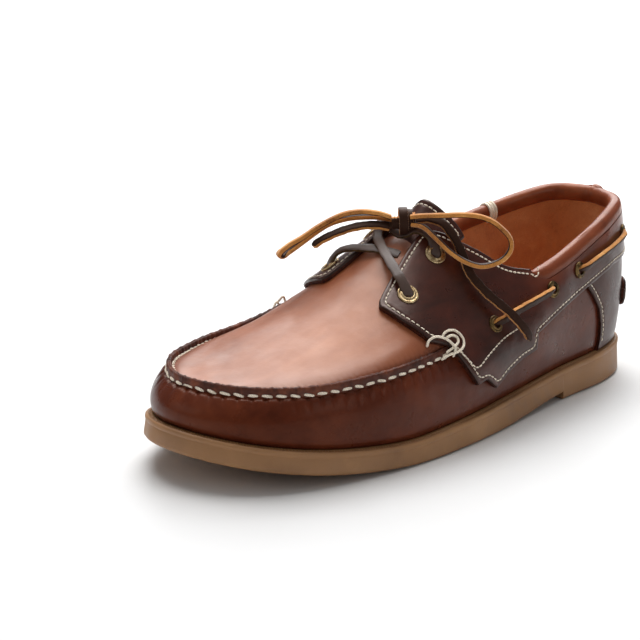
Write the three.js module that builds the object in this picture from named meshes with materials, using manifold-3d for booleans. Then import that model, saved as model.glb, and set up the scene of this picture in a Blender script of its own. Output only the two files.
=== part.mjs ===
// Boat shoe, left foot: hand-sewn moccasin front, side lacing, gum rubber unit sole.
// Millimetres, +Z up. The toe points to -Y, the heel to +Y and the outer side to +X.
// The origin is on the ground, under the middle of the sole's outline.
import * as THREE from "three";
import { mergeVertices } from "three/addons/utils/BufferGeometryUtils.js";
import Module from "manifold-3d";

const wasm = await Module();
wasm.setup();

// ---------------------------------------------------------------- driving dimensions
const HEEL_S = 0.7; // s is the distance along the foot, measured from the heel
const TOE_S = 295.7;
const HEEL_THICK = 18.3; // sole wall at the heel
const BALL_THICK = 10.7; // sole wall from the ball forwards
const WEDGE_END = 200; // where the sole stops getting thinner
const SPRING_START = 187;
const TOE_SPRING = 15.6;
const SOLE_FLARE = 1.6; // the sole is wider at the ground than at its top edge
const GAP = 0.3; // clearance between neighbouring pieces
const FEATHER_INSET = 4.5; // upper's bottom edge, inside the sole's outline
const UPPER_WALL = 2;
const THROAT_SETBACK = 3.5; // upper's throat edge, behind the saddle's
const PANEL_LIFT = 0.8; // saddle's underside above the upper
const PANEL_TOP = 3;
const COUNTER_TOP = 2;
const PATCH_LIFT = 2.3;
const PATCH_TOP = 4.4;
const RIDGE_HEIGHT = 3.5; // standing seam round the toe
const RIDGE_WIDTH = 3.6;
const COLLAR_RADIUS = 3.4;
const INSOLE_THICK = 3;
const INSOLE_PLAY = 1.6; // space between the insole's edge and the upper
const TONGUE_THICK = 2.4;
const TONGUE_DROP = 2.5; // tongue's top side under the upper's outer surface
const TONGUE_FLARE = 5.8; // how far the tongue's free end stands off the foot
const FLARE_START = 157;
const FLARE_LENGTH = 19;
const THROAT_X = 0.8; // middle of the throat
const LACE_WIDTH = 4;
const LACE_THICK = 2.2;
const CORD_RADIUS = 1.55;
const EYELET_RADIUS = 5.1;
const SIDE_EYELET_RADIUS = 4.2;
const EVEN_RUNGS = 24; // rungs across the last, evenly turned from heel to toe
const THROAT_RUNGS = [138, 157]; // more rungs, where the throat opens
const ABOVE = 140; // cutters reach past the shoe: above it, beside it and behind the heel
const ASIDE = 90;
const BEHIND = -20;

// ---------------------------------------------------------------- tables
const table = (names, rows) =>
  rows.map((row) => Object.fromEntries(names.map((name, i) => [name, row[i]])));

// Sole outline: outer (lat) and inner (med) edge at distance s from the heel.
const OUTLINE = table(["s", "lat", "med"], [
  [0.7, 0, 0],
  [10, 25.1, -25.4],
  [35, 36.8, -35.3],
  [75, 41.3, -34.2],
  [115, 47.6, -33.6],
  [155, 53.7, -40],
  [195, 55.5, -50.5],
  [235, 50.5, -53.2],
  [262, 41.6, -47.4],
  [282, 26.9, -36.3],
  [295.7, -7.5, -7.5],
]);

// Sections of the last. latZ/medZ: height of the shoulder where wall meets top. latIn/medIn:
// its distance inside the sole outline. latOut/medOut: the same for the fullest part of the
// wall. crown: height along the middle. slim: power of the top's curve, 0.5 for a half round.
const SECTIONS = table(
  ["s", "latZ", "medZ", "latIn", "medIn", "latOut", "medOut", "crown", "slim"],
  [
    [0.7, 93, 93, 5.5, 5.5, 2.4, 2.4, 104, 0.6],
    [20, 91, 92, 8, 9, 2.6, 3, 108, 0.6],
    [45, 84, 85, 8.6, 4.6, 2.4, 2, 112, 0.6],
    [75, 75.5, 83, 7.4, 2.2, 1.6, 1.4, 116, 0.7],
    [100, 68, 76, 11.4, 1.4, 2, 0.6, 117, 1.05],
    [122, 59, 67, 12, 0.6, 2.8, 0.4, 111.5, 1.25],
    [146, 51.5, 61, 11.4, 0.8, 3, 1, 97.5, 1.3],
    [170, 45.2, 55.5, 9, 2.2, 3, 1.8, 81.5, 0.98],
    [195, 43.5, 49, 7, 6, 2.6, 2.4, 67, 0.92],
    [218, 42.3, 45.4, 6.4, 8, 2.5, 2.6, 58, 1],
    [250, 41.5, 43.5, 7, 8.4, 2.8, 2.8, 50, 1],
    [275, 42, 43.5, 9, 9.4, 3, 3, 45.2, 1],
    [295.7, 42.5, 42.5, 11, 11, 3.6, 3.6, 42.6, 1],
  ]
);

// Ridge of the moccasin seam, as a share of its full height.
const RIDGE = table(["s", "lat", "med"], [
  [0.7, 0, 0],
  [162, 0, 0],
  [172, 1, 0],
  [181, 1, 0.1],
  [190, 1, 1],
  [295.7, 1, 1],
]);

// Upper edge of the collar, outer and inner side.
const COLLAR = table(["s", "lat", "med"], [
  [0.7, 93, 93],
  [20, 90.6, 91.4],
  [45, 83.6, 86],
  [75, 75, 82],
  [96, 69.5, 77],
]);

// Throat: edge of the lacing flaps, seen from above.
const THROAT = table(["s", "lat", "med"], [
  [100, 33.4, -32.6],
  [116, 30, -29.5],
  [127, 26, -25],
  [138, 20.5, -18.5],
  [145, 14.6, -12.4],
  [151, 10.4, -9],
  [160, 11, -9],
  [173, 14, -11],
  [184, 17.4, -13.6],
  [192, 20.6, -16.6],
  [197, 22.6, -18.6],
]);

// Stepped lower edge of the saddle, from the back seam to the front of the flap.
const SADDLE_EDGE = table(["s", "z"], [
  [-12, 64],
  [1.5, 63.5],
  [34, 61],
  [60, 54.5],
  [81, 48.5],
  [104, 41],
  [106, 33.5],
  [119, 31.5],
  [131, 28],
  [141, 23.2],
  [149, 29],
  [156, 28],
  [161, 35],
  [166.5, 43],
  [171, 48.2],
  [180, 51],
  [188, 60],
  [192.5, 66],
  [194, 80],
]);

// Front edge of the heel counter, from the sole up to the saddle.
const COUNTER_EDGE = table(["s", "z"], [
  [43, 0],
  [41.5, 24],
  [43, 32.5],
  [46, 41],
  [52.5, 49.5],
  [56.5, 53.6],
]);

// Side view of the patch that wraps the back of the heel.
const PATCH_EDGE = table(["s", "z"], [
  [-12, 33],
  [10, 33],
  [13.5, 36],
  [13.5, 45],
  [10, 48],
  [-12, 48],
]);

// Hollow under the arch, from the heel's front to the ball.
const ARCH = table(["s", "z"], [
  [76, -2],
  [76, 3.6],
  [90, 2.9],
  [99, 2.1],
  [112, 1],
  [124, 0],
  [124, -2],
]);

// Tongue seen from above, and the side view of the space it is cut from.
const TONGUE_PLAN = table(["x", "s"], [
  [-19, 206],
  [19, 206],
  [23, 150],
  [22.5, 104],
  [-21.5, 104],
  [-21, 150],
]);
const TONGUE_SIDE = table(["s", "z"], [
  [210, 40],
  [106, 62],
  [141, 106.5],
  [141, 120],
  [210, 120],
]);

const GROOVES = [18, 32, 46, 60, 138, 152, 166, 180]; // distance s of each tread groove
const GROOVE_WIDTH = 1.4;
const GROOVE_DEPTH = 1.3;
const GROOVE_BEND = 5;
const GROOVE_MARGIN = 9;

const FRONT_EYELETS = table(["name", "x", "s"], [
  ["eyelet_lateral_low", 25, 176],
  ["eyelet_lateral_high", 19.5, 152],
  ["eyelet_medial_low", -21.5, 177],
  ["eyelet_medial_high", -17.5, 153],
]);

const SIDE_EYELETS = table(["name", "s", "z"], [
  ["1", 135, 50.4],
  ["2", 89, 59],
  ["3", 66, 64.5],
  ["4", 19, 74.5],
]);

// Section of the thong, as shares of its width and thickness.
const THONG_SECTION = table(["across", "through"], [
  [-0.5, -0.3],
  [-0.5, 0.3],
  [-0.34, 0.5],
  [0.34, 0.5],
  [0.5, 0.3],
  [0.5, -0.3],
  [0.34, -0.5],
  [-0.34, -0.5],
]);

// Lace routes in the shoe's own x, s, z. The first three are joined into the crossing.
const route = (rows) => table(["x", "s", "z"], rows);
const CROSS_LOW = route([
  [-20.5, 176.8, 80.6],
  [-16, 175, 83.4],
  [-10, 172.5, 84.6],
  [-3, 169.6, 85],
  [3, 167, 84.6],
  [8.6, 164.6, 83.4],
]);
const CROSS_RISE = route([
  [22.6, 177.9, 76.8],
  [18.4, 177, 79.6],
  [11.5, 174.5, 83.2],
  [3, 170, 86.2],
  [-4.6, 165.2, 88.9],
  [-8.6, 161, 91.2],
  [-10.4, 157.6, 93.6],
  [-10.6, 155.2, 95.2],
]);
const CROSS_HIGH = route([
  [17.4, 152.2, 91.4],
  [12.6, 153.8, 94],
  [9, 155, 94],
  [5.8, 156.4, 91.9],
  [2.6, 157.4, 91],
  [-2, 156.8, 92],
  [-6, 155.8, 94.2],
  [-10, 154.9, 95.6],
  [-15.4, 153.6, 93.4],
]);
const KNOT = { x: 3.6, s: 157, z: 97.7, radii: [4.2, 4.4, 4.4] };
const LOOP_LATERAL = route([
  [8.8, 157.4, 100.6],
  [15, 153.4, 101.6],
  [22, 148.4, 102.3],
  [28, 143.6, 102.9],
  [34, 138.9, 102.6],
  [39, 134.8, 100.6],
  [42.6, 131.4, 97],
  [44.8, 128.2, 92.6],
  [45.4, 127.6, 88],
  [44.4, 130, 83.6],
  [41.4, 134.2, 80.6],
  [37.4, 140, 79.6],
  [32.6, 145.6, 82],
  [27, 149.8, 86.2],
  [21, 153.4, 92.2],
  [15.4, 155.2, 96.4],
  [9.6, 156.6, 97],
]);
const LOOP_MEDIAL = route([
  [-2.2, 159.4, 98.8],
  [-7, 163.2, 100.4],
  [-13, 168, 100.8],
  [-18.6, 173, 99.6],
  [-23.4, 178, 96.6],
  [-27.6, 183.6, 92.6],
  [-31.2, 189.2, 88.2],
  [-34.6, 194.2, 84.8],
  [-37.8, 196.6, 81.2],
  [-39.8, 194.6, 78.6],
  [-39.6, 190, 79.6],
  [-36.6, 184, 84],
  [-29.6, 175.6, 92],
  [-23.6, 169, 95.4],
  [-16.6, 163, 96.8],
  [-9.4, 158.6, 97.2],
  [-2.6, 155.8, 96.8],
]);
const END_LATERAL = route([
  [6.8, 152, 98],
  [12, 147.6, 98.6],
  [18, 144.4, 96.6],
  [24, 143, 90.4],
  [29, 142.8, 83.4],
  [33.5, 142.2, 75.6],
  [37, 140.4, 71],
  [40.4, 137.4, 66.4],
  [44, 133, 61.6],
  [47.8, 128.4, 56.6],
  [51, 124.6, 51.4],
  [52.2, 121, 46.8],
  [51.6, 117.8, 42.6],
]);
const END_MEDIAL = route([
  [-1.8, 160.8, 94.6],
  [-6, 165.2, 95.2],
  [-10.6, 170.2, 94.8],
  [-15, 175.4, 93.2],
  [-19.4, 180.4, 90.6],
  [-23.4, 184.4, 87.6],
  [-26.4, 186.8, 84.6],
]);

// ---------------------------------------------------------------- interpolation
const lerp = (a, b, t) => a + (b - a) * t;

// Smooth curve through one column of a table, by distance s (or by another key).
function read(rows, column, at, key = "s") {
  const last = rows.length - 1;
  const x = Math.min(Math.max(at, rows[0][key]), rows[last][key]);
  let i = 0;
  while (i < last - 1 && x > rows[i + 1][key]) i += 1;
  const slope = (j) => {
    const a = rows[Math.max(j - 1, 0)];
    const b = rows[Math.min(j + 1, last)];
    return (b[column] - a[column]) / (b[key] - a[key]);
  };
  const span = rows[i + 1][key] - rows[i][key];
  const t = (x - rows[i][key]) / span;
  const [p, q] = [rows[i][column], rows[i + 1][column]];
  const [m, n] = [slope(i) * span, slope(i + 1) * span];
  const t2 = t * t;
  const t3 = t2 * t;
  return (2 * t3 - 3 * t2 + 1) * p + (t3 - 2 * t2 + t) * m + (3 * t2 - 2 * t3) * q + (t3 - t2) * n;
}

// The outline is read by angle phi (0 at the heel, PI at the toe), so both ends are round.
const phiOf = (s) => Math.acos(1 - (2 * (s - HEEL_S)) / (TOE_S - HEEL_S));
const sOf = (phi) => HEEL_S + ((TOE_S - HEEL_S) * (1 - Math.cos(phi))) / 2;
const OUTLINE_BY_PHI = OUTLINE.map((row) => ({ ...row, phi: phiOf(row.s) }));

const PHIS = [
  ...Array.from({ length: EVEN_RUNGS + 1 }, (_, i) => (Math.PI * i) / EVEN_RUNGS),
  ...THROAT_RUNGS.map(phiOf),
].sort((a, b) => a - b);
const STATIONS = PHIS.length - 1;

function outlinePoint(side, phi) {
  return { x: read(OUTLINE_BY_PHI, side, phi, "phi"), s: sOf(phi) };
}

// Point a given distance inside the outline, square to it.
function insetPoint(side, phi, inset) {
  const step = 0.02;
  const a = outlinePoint(side, Math.max(phi - step, 0));
  const b = outlinePoint(side, Math.min(phi + step, Math.PI));
  const here = outlinePoint(side, phi);
  const atEnd = phi < 1e-6 || phi > Math.PI - 1e-6;
  const dx = atEnd ? 1 : b.x - a.x;
  const ds = atEnd ? 0 : b.s - a.s;
  const length = Math.hypot(dx, ds);
  const turn = side === "lat" ? -1 : 1;
  const end = phi < 1 ? 1 : -1;
  if (atEnd) return { x: here.x, s: here.s + end * inset };
  return { x: here.x + (turn * ds * inset) / length, s: here.s - (turn * dx * inset) / length };
}

// ---------------------------------------------------------------- sole heights
function groundLine(s) {
  const t = Math.max(0, (s - SPRING_START) / (TOE_S + 2.3 - SPRING_START));
  return TOE_SPRING * Math.pow(t, 1.8);
}

const soleTop = (s) => groundLine(s) + lerp(HEEL_THICK, BALL_THICK, Math.min(1, s / WEDGE_END));

// ---------------------------------------------------------------- sections of the last
const WALL_ROWS = 5;
const CROWN_ROWS = 10;

// Side wall, from the feather edge on the sole (v = 0) to the shoulder (v = 1).
function wallPoint(side, phi, v) {
  const s = sOf(phi);
  const fullest = 0.42;
  const outset = read(SECTIONS, side + "Out", s);
  const shoulder = read(SECTIONS, side + "In", s);
  const a = ((v - fullest) * (v - 1)) / fullest;
  const b = (v * (v - 1)) / (fullest * (fullest - 1));
  const c = (v * (v - fullest)) / (1 - fullest);
  const point = insetPoint(side, phi, a * FEATHER_INSET + b * outset + c * shoulder);
  const z = lerp(soleTop(point.s) + GAP, read(SECTIONS, side + "Z", s), v);
  return [point.x, point.s, z];
}

// Top of the last, from the inner shoulder (t = -1) to the outer one (t = 1).
function crownPoint(phi, t, flare = 0) {
  const s = sOf(phi);
  const lat = wallPoint("lat", phi, 1);
  const med = wallPoint("med", phi, 1);
  const base = lat.map((value, i) => lerp(med[i], value, (t + 1) / 2));
  const rise = Math.max(0, read(SECTIONS, "crown", s) - (lat[2] + med[2]) / 2);
  const curve = Math.pow(Math.max(0, 1 - t * t), read(SECTIONS, "slim", s));
  const away = Math.min(1, Math.abs(base[0] - THROAT_X) / (read(THROAT, "lat", s) - THROAT_X));
  const flareShare = Math.pow(Math.max(0, FLARE_START - s) / FLARE_LENGTH, 1.5);
  const lift = flare * flareShare * Math.pow(1 - away * away, 3);
  return [base[0], base[1], base[2] + rise * curve + lift];
}

const ridgeShare = (side, s) => Math.min(1, Math.max(0, read(RIDGE, side, s)));

// Standing seam between wall and top: outer lip, inner lip and the foot of its inner side.
function ridgePoints(side, phi) {
  const s = sOf(phi);
  const share = ridgeShare(side, s);
  const shoulder = wallPoint(side, phi, 1);
  const inside = read(SECTIONS, side + "In", s);
  return [[0.7, 1], [RIDGE_WIDTH - 0.7, 0.94]].map(([inset, rise]) => {
    const p = insetPoint(side, phi, inside + inset * share);
    return [p.x, p.s, shoulder[2] + rise * RIDGE_HEIGHT * share];
  });
}

// One rung across the last at angle phi, from the outer feather edge over the top to the inner.
function rung(phi, ridged, flare) {
  const points = [];
  for (let i = 0; i <= WALL_ROWS; i += 1) points.push(wallPoint("lat", phi, i / WALL_ROWS));
  if (ridged) points.push(...ridgePoints("lat", phi));
  const width = Math.abs(points[WALL_ROWS][0] - wallPoint("med", phi, 1)[0]) / 2;
  const crownEdge = (side) => {
    const margin = ridged ? RIDGE_WIDTH * ridgeShare(side, sOf(phi)) : 0;
    return Math.max(0, 1 - margin / Math.max(width, margin, 1e-6));
  };
  const [latEdge, medEdge] = [crownEdge("lat"), crownEdge("med")];
  const skip = ridged ? 0 : 1; // without a ridge the wall already ends on the crown's edge
  for (let i = skip; i <= CROWN_ROWS - skip; i += 1) {
    const t = Math.cos((Math.PI * i) / CROWN_ROWS);
    points.push(crownPoint(phi, t > 0 ? t * latEdge : t * medEdge, flare));
  }
  if (ridged) points.push(...ridgePoints("med", phi).reverse());
  for (let i = WALL_ROWS; i >= 0; i -= 1) points.push(wallPoint("med", phi, i / WALL_ROWS));
  return points;
}

// ---------------------------------------------------------------- meshes and solids
function middleOfOutline() {
  const steps = 200;
  const xs = [];
  for (let i = 0; i <= steps; i += 1) {
    const phi = (Math.PI * i) / steps;
    xs.push(outlinePoint("lat", phi).x, outlinePoint("med", phi).x);
  }
  return (Math.min(...xs) + Math.max(...xs)) / 2;
}

const MIDDLE_X = middleOfOutline();
const MIDDLE_S = (HEEL_S + TOE_S) / 2;

// From the shoe's own (x, s, z) to the model frame.
const place = ([x, s, z]) => [x - MIDDLE_X, MIDDLE_S - s, z];

function geometryOf(points, triangles) {
  const geometry = new THREE.BufferGeometry();
  geometry.setAttribute("position", new THREE.Float32BufferAttribute(points.flat(), 3));
  geometry.setIndex(triangles.flat());
  return geometry;
}

function solidOf(geometry) {
  const bare = geometry.clone();
  for (const name of ["normal", "uv"]) bare.deleteAttribute(name);
  const merged = mergeVertices(bare, 1e-4);
  const vertProperties = new Float32Array(merged.attributes.position.array);
  const corners = merged.index.array;
  const kept = [];
  for (let i = 0; i < corners.length; i += 3) {
    const [a, b, c] = [corners[i], corners[i + 1], corners[i + 2]];
    if (a !== b && b !== c && c !== a) kept.push(a, b, c);
  }
  const solid = new wasm.Manifold(
    new wasm.Mesh({ numProp: 3, vertProperties, triVerts: new Uint32Array(kept) })
  );
  return solid.volume() < 0 ? solidOf(flipped(geometry)) : solid;
}

function flipped(geometry) {
  const mirrored = geometry.clone();
  const count = mirrored.attributes.position.count;
  const index = mirrored.index ? Array.from(mirrored.index.array) : [...Array(count).keys()];
  mirrored.setIndex(index.map((_, i) => index[i - (i % 3) + (2 - (i % 3))]));
  return mirrored;
}

// Grid of the last: STATIONS + 1 rungs. The first and last rung fold onto themselves.
function lastGrid(ridged, flare) {
  return PHIS.map((phi) => rung(phi, ridged, flare));
}

// The same grid moved square to its surface.
function offsetGrid(grid, distance) {
  const columns = grid[0].length;
  const at = (i, j) => {
    // beyond heel and toe, the mirror column of the nearest rung carries the surface on
    if (i < 0) return grid[1][columns - 1 - j];
    if (i > STATIONS) return grid[STATIONS - 1][columns - 1 - j];
    return grid[i][Math.min(Math.max(j, 0), columns - 1)];
  };
  return grid.map((row, i) =>
    row.map((point, j) => {
      const along = new THREE.Vector3(...at(i + 1, j)).sub(new THREE.Vector3(...at(i - 1, j)));
      const across = new THREE.Vector3(...at(i, j + 1)).sub(new THREE.Vector3(...at(i, j - 1)));
      const normal = along.cross(across);
      if (normal.length() < 1e-6) normal.set(0, i === 0 ? -1 : 1, 1);
      normal.normalize();
      return [point[0], point[1], point[2]].map((value, k) => value + normal.getComponent(k) * distance);
    })
  );
}

// Closed solid of the last, moved out by distance, its underside dropped by drop.
function formSolid(distance, { ridged = false, drop = 0, flare = 0 } = {}) {
  const grid = offsetGrid(lastGrid(ridged, flare), distance);
  const columns = grid[0].length;
  const flat = grid.map((row) => {
    const low = (p) => [p[0], p[1], soleTop(Math.min(Math.max(p[1], 0), TOE_S)) + GAP - drop];
    return [low(row[0]), ...row.slice(1, -1), low(row[columns - 1])];
  });
  const points = flat.flat().map(place);
  const triangles = [];
  const quad = (a, b, c, d) => triangles.push([a, b, c], [a, c, d]);
  for (let i = 0; i < STATIONS; i += 1) {
    for (let j = 0; j + 1 < columns; j += 1) {
      const a = i * columns + j;
      quad(a, a + 1, a + 1 + columns, a + columns);
    }
    const a = i * columns;
    quad(a, a + columns, a + 2 * columns - 1, a + columns - 1);
  }
  for (const end of [0, STATIONS]) {
    const base = end * columns;
    for (let j = 0; j < columns / 2 - 1; j += 1) {
      const [a, b] = [base + j, base + columns - 1 - j];
      const ring = [a, b, b - 1, a + 1];
      if (end === 0) quad(...ring);
      else quad(...ring.reverse());
    }
  }
  return solidOf(geometryOf(points, triangles));
}

// Prism over a side view outline of {s, z} points, from x = from to x = to.
function sidePrism(outline, from, to) {
  const ring = (x) => outline.map(({ s, z }) => [x, s, z]);
  return prismOf(ring(from), ring(to));
}

// Prism over a plan outline of {x, s} points, from z = from to z = to.
function planPrism(outline, from, to) {
  const ring = (z) => outline.map(({ x, s }) => [x, s, z]);
  return prismOf(ring(from), ring(to));
}

function prismOf(first, second) {
  const [a, b] = [0, 1, 2].filter((k) => first.every((p, i) => Math.abs(second[i][k] - p[k]) < 1e-9));
  const flatten = (ring) => ring.map((p) => new THREE.Vector2(p[a], p[b]));
  const backwards = THREE.ShapeUtils.area(flatten(first)) < 0;
  const [low, high] = [first, second].map((ring) => (backwards ? [...ring].reverse() : ring));
  const n = low.length;
  const faces = THREE.ShapeUtils.triangulateShape(flatten(low), []);
  const triangles = faces.flatMap(([i, j, k]) => [[k, j, i], [i + n, j + n, k + n]]);
  for (let i = 0; i < n; i += 1) {
    const j = (i + 1) % n;
    triangles.push([i, j, j + n], [i, j + n, i + n]);
  }
  return solidOf(geometryOf([...low, ...high].map(place), triangles));
}

// One column of a table at even steps of s, as points {s, name}.
function sampled(rows, column, count, name) {
  const [first, last] = [rows[0].s, rows[rows.length - 1].s];
  return Array.from({ length: count + 1 }, (_, i) => {
    const s = lerp(first, last, i / count);
    return { s, [name]: read(rows, column, s) };
  });
}

// ---------------------------------------------------------------- points on the upper
// Place between low and high where a test stops being true.
function bisect(low, high, isBelow) {
  for (let i = 0; i < 30; i += 1) {
    const middle = (low + high) / 2;
    if (isBelow(middle)) low = middle;
    else high = middle;
  }
  return low;
}

// Point and outward direction on the last, at distance s and height z on one side.
function onSide(side, s, z) {
  const phi = phiOf(s);
  const sign = side === "lat" ? 1 : -1;
  const pointAt = (u, turn) => {
    const angle = Math.min(Math.max(phi + turn, 0), Math.PI);
    return u <= 1 ? wallPoint(side, angle, u) : crownPoint(angle, sign * (2 - u));
  };
  const found = bisect(0, 2, (u) => pointAt(u, 0)[2] < z);
  return surfaceFrame(pointAt, found, side);
}

// Point and outward direction on top of the last, at plan position x, s.
function onTop(x, s) {
  const phi = phiOf(s);
  const found = bisect(-1, 1, (t) => crownPoint(phi, t)[0] < x);
  return surfaceFrame((t, turn) => crownPoint(phi + turn, t), found, "med");
}

function surfaceFrame(pointAt, u, side) {
  const step = 0.01;
  const vector = (du, turn) => new THREE.Vector3(...place(pointAt(u + du, turn)));
  const along = vector(0, step).sub(vector(0, -step));
  const up = vector(step, 0).sub(vector(-step, 0));
  const normal = side === "lat" ? up.cross(along) : along.cross(up);
  return { point: vector(0, 0), normal: normal.normalize() };
}

const lifted = (frame, distance) => frame.point.clone().addScaledVector(frame.normal, distance);

// ---------------------------------------------------------------- sole
// Closed ring of points a given distance inside the outline, outer side first.
function outlineRing(inset) {
  const outer = PHIS.map((phi) => insetPoint("lat", phi, inset));
  const inner = PHIS.slice(1, -1).reverse().map((phi) => insetPoint("med", phi, inset));
  return [...outer, ...inner];
}

function outsole() {
  const ring = (inset, height) => outlineRing(inset).map(({ x, s }) => [x, s, height(s)]);
  const rings = [ring(1, groundLine), ring(0, (s) => groundLine(s) + 1), ring(SOLE_FLARE, soleTop)];
  const points = rings.flat().map(place);
  const n = rings[0].length;
  const triangles = [];
  for (let i = 0; i < n; i += 1) {
    const j = (i + 1) % n;
    for (const r of [0, n]) triangles.push([r + i, r + j, r + j + n], [r + i, r + j + n, r + i + n]);
  }
  for (let i = 0; i < STATIONS; i += 1) {
    const [a, b] = [i, i + 1];
    const [c, d] = [(n - i - 1) % n, (n - i) % n];
    const top = 2 * n;
    triangles.push([a, c, b], [a, d, c], [a + top, b + top, c + top], [a + top, c + top, d + top]);
  }
  const body = solidOf(geometryOf(points, triangles));
  const cutters = [sidePrism(ARCH, -ASIDE, ASIDE), ...soleGrooves()];
  return cutters.reduce((solid, cutter) => solid.subtract(cutter), body);
}

// Bent grooves across heel and forefoot, open to the ground.
function soleGrooves() {
  return GROOVES.map((s) => {
    const lat = read(OUTLINE, "lat", s) - GROOVE_MARGIN;
    const med = read(OUTLINE, "med", s) + GROOVE_MARGIN;
    const xs = [0, 0.25, 0.5, 0.75, 1].map((t) => lerp(med, lat, t));
    const bend = (i) => (i % 2 ? GROOVE_BEND : 0);
    const near = xs.map((x, i) => ({ x, s: s + bend(i) }));
    const far = near.map((point) => ({ x: point.x, s: point.s + GROOVE_WIDTH })).reverse();
    return planPrism([...near, ...far], -2, GROOVE_DEPTH);
  });
}

function insole() {
  const margin = FEATHER_INSET + UPPER_WALL + INSOLE_PLAY;
  const rings = [0, INSOLE_THICK].map((rise) =>
    outlineRing(margin).map(({ x, s }) => [x, s, soleTop(s) + 2 * GAP + rise])
  );
  const n = rings[0].length;
  const triangles = [];
  for (let i = 0; i < n; i += 1) {
    const j = (i + 1) % n;
    triangles.push([i, j, j + n], [i, j + n, i + n]);
  }
  for (let i = 0; i < STATIONS; i += 1) {
    const [a, b, c, d] = [i, i + 1, (n - i - 1) % n, (n - i) % n];
    triangles.push([a, c, b], [a, d, c], [a + n, b + n, c + n], [a + n, c + n, d + n]);
  }
  return solidOf(geometryOf(rings.flat().map(place), triangles));
}

// ---------------------------------------------------------------- cutters
// Everything above the underside of the collar roll on one side, from the heel to the throat.
function collarCut(side) {
  const drop = 2 * COLLAR_RADIUS + GAP;
  const edge = sampled(COLLAR, side, 12, "z").map(({ s, z }) => ({ s, z: z - drop }));
  const end = edge[edge.length - 1];
  const front = end.s + 6;
  const outline = [
    { s: BEHIND, z: edge[0].z },
    ...edge,
    { s: front, z: end.z - 1.2 },
    { s: front, z: ABOVE },
    { s: BEHIND, z: ABOVE },
  ];
  return side === "lat" ? sidePrism(outline, 0, ASIDE) : sidePrism(outline, -ASIDE, 0);
}

// The open throat, with its edges set back by margin.
function throatCut(margin) {
  const lat = sampled(THROAT, "lat", 20, "x").map(({ s, x }) => ({ s, x: x + margin }));
  const med = sampled(THROAT, "med", 20, "x").map(({ s, x }) => ({ s, x: x - margin }));
  return planPrism([...lat, ...med.reverse()], 40, ABOVE);
}

// The stepped edge of one side. At the flap it keeps its height above that side's shoulder.
function saddleEdge(side) {
  return SADDLE_EDGE.map(({ s, z }) => {
    const higher = read(SECTIONS, side + "Z", s) - read(SECTIONS, "latZ", s);
    const share = s > 150 ? Math.min(1, Math.max(0, (z - 28) / 17)) : 0;
    return { s, z: z + higher * share };
  });
}

// Space of one saddle half in side view: above its stepped edge.
function saddleZone(side) {
  const edge = saddleEdge(side);
  const outline = [...edge, { s: edge[edge.length - 1].s, z: ABOVE }, { s: edge[0].s, z: ABOVE }];
  return side === "lat" ? sidePrism(outline, GAP / 2, ASIDE) : sidePrism(outline, -ASIDE, -GAP / 2);
}

const shell = (inner, outer, flare = 0) =>
  formSolid(outer, { flare }).subtract(formSolid(inner, { drop: 8, flare }));

// ---------------------------------------------------------------- upper and panels
const collarOpening = () => collarCut("lat").add(collarCut("med"));

function upper() {
  const body = formSolid(0, { ridged: true }).subtract(formSolid(-UPPER_WALL, { drop: 8 }));
  return holed(body.subtract(collarOpening()).subtract(throatCut(THROAT_SETBACK)));
}

function saddle(side) {
  const zone = saddleZone(side);
  const body = shell(PANEL_LIFT, PANEL_TOP).intersect(zone);
  return holed(body.subtract(collarOpening()).subtract(throatCut(0)));
}

function heelCounter() {
  const tip = COUNTER_EDGE[COUNTER_EDGE.length - 1];
  const under = SADDLE_EDGE.filter(({ s }) => s < tip.s).map(({ s, z }) => ({ s, z: z - 2 * GAP }));
  const outline = [...COUNTER_EDGE, ...under.reverse(), { s: SADDLE_EDGE[0].s, z: 0 }];
  return shell(PANEL_LIFT, COUNTER_TOP).intersect(sidePrism(outline, -ASIDE, ASIDE));
}

function heelPatch() {
  return shell(PATCH_LIFT, PATCH_TOP).intersect(sidePrism(PATCH_EDGE, -ASIDE, ASIDE));
}

// The tongue lies under the flaps. Its free end is cut square to its own slope.
function tongue() {
  const leather = shell(-TONGUE_DROP - TONGUE_THICK, -TONGUE_DROP, TONGUE_FLARE);
  const sheet = leather.intersect(planPrism(TONGUE_PLAN, 45, ABOVE));
  return sheet.intersect(sidePrism(TONGUE_SIDE, -ASIDE, ASIDE));
}

// ---------------------------------------------------------------- collar, eyelets, laces
function tube(path, radius, steps, sides = 8) {
  const section = new THREE.Shape();
  for (let i = 0; i < sides; i += 1) {
    const a = (2 * Math.PI * (i + 0.5)) / sides;
    const [x, y] = [radius * Math.cos(a), radius * Math.sin(a)];
    if (i === 0) section.moveTo(x, y);
    else section.lineTo(x, y);
  }
  section.closePath();
  const curve = new THREE.CatmullRomCurve3(path);
  const geometry = new THREE.ExtrudeGeometry(section, { extrudePath: curve, steps, bevelEnabled: false });
  return solidOf(geometry);
}

// Rolled edge round the foot opening, standing on the upper's cut edge.
function collarRoll() {
  const path = [];
  const stops = [96, 84, 70, 55, 42, 30, 20, 12, 6, 2.6];
  const at = (side, s) => onSide(side, s, read(COLLAR, side, s) - COLLAR_RADIUS);
  for (const s of stops) path.push(lifted(at("lat", s), 0.2));
  path.push(new THREE.Vector3(...place([0, 6.6, 93 - COLLAR_RADIUS])));
  for (const s of [...stops].reverse()) path.push(lifted(at("med", s), 0.2));
  return tube(path, COLLAR_RADIUS, 36);
}

function spot(row) {
  if (row.x !== undefined) return onTop(row.x, row.s);
  return onSide(row.side, row.s, row.z);
}

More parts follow.
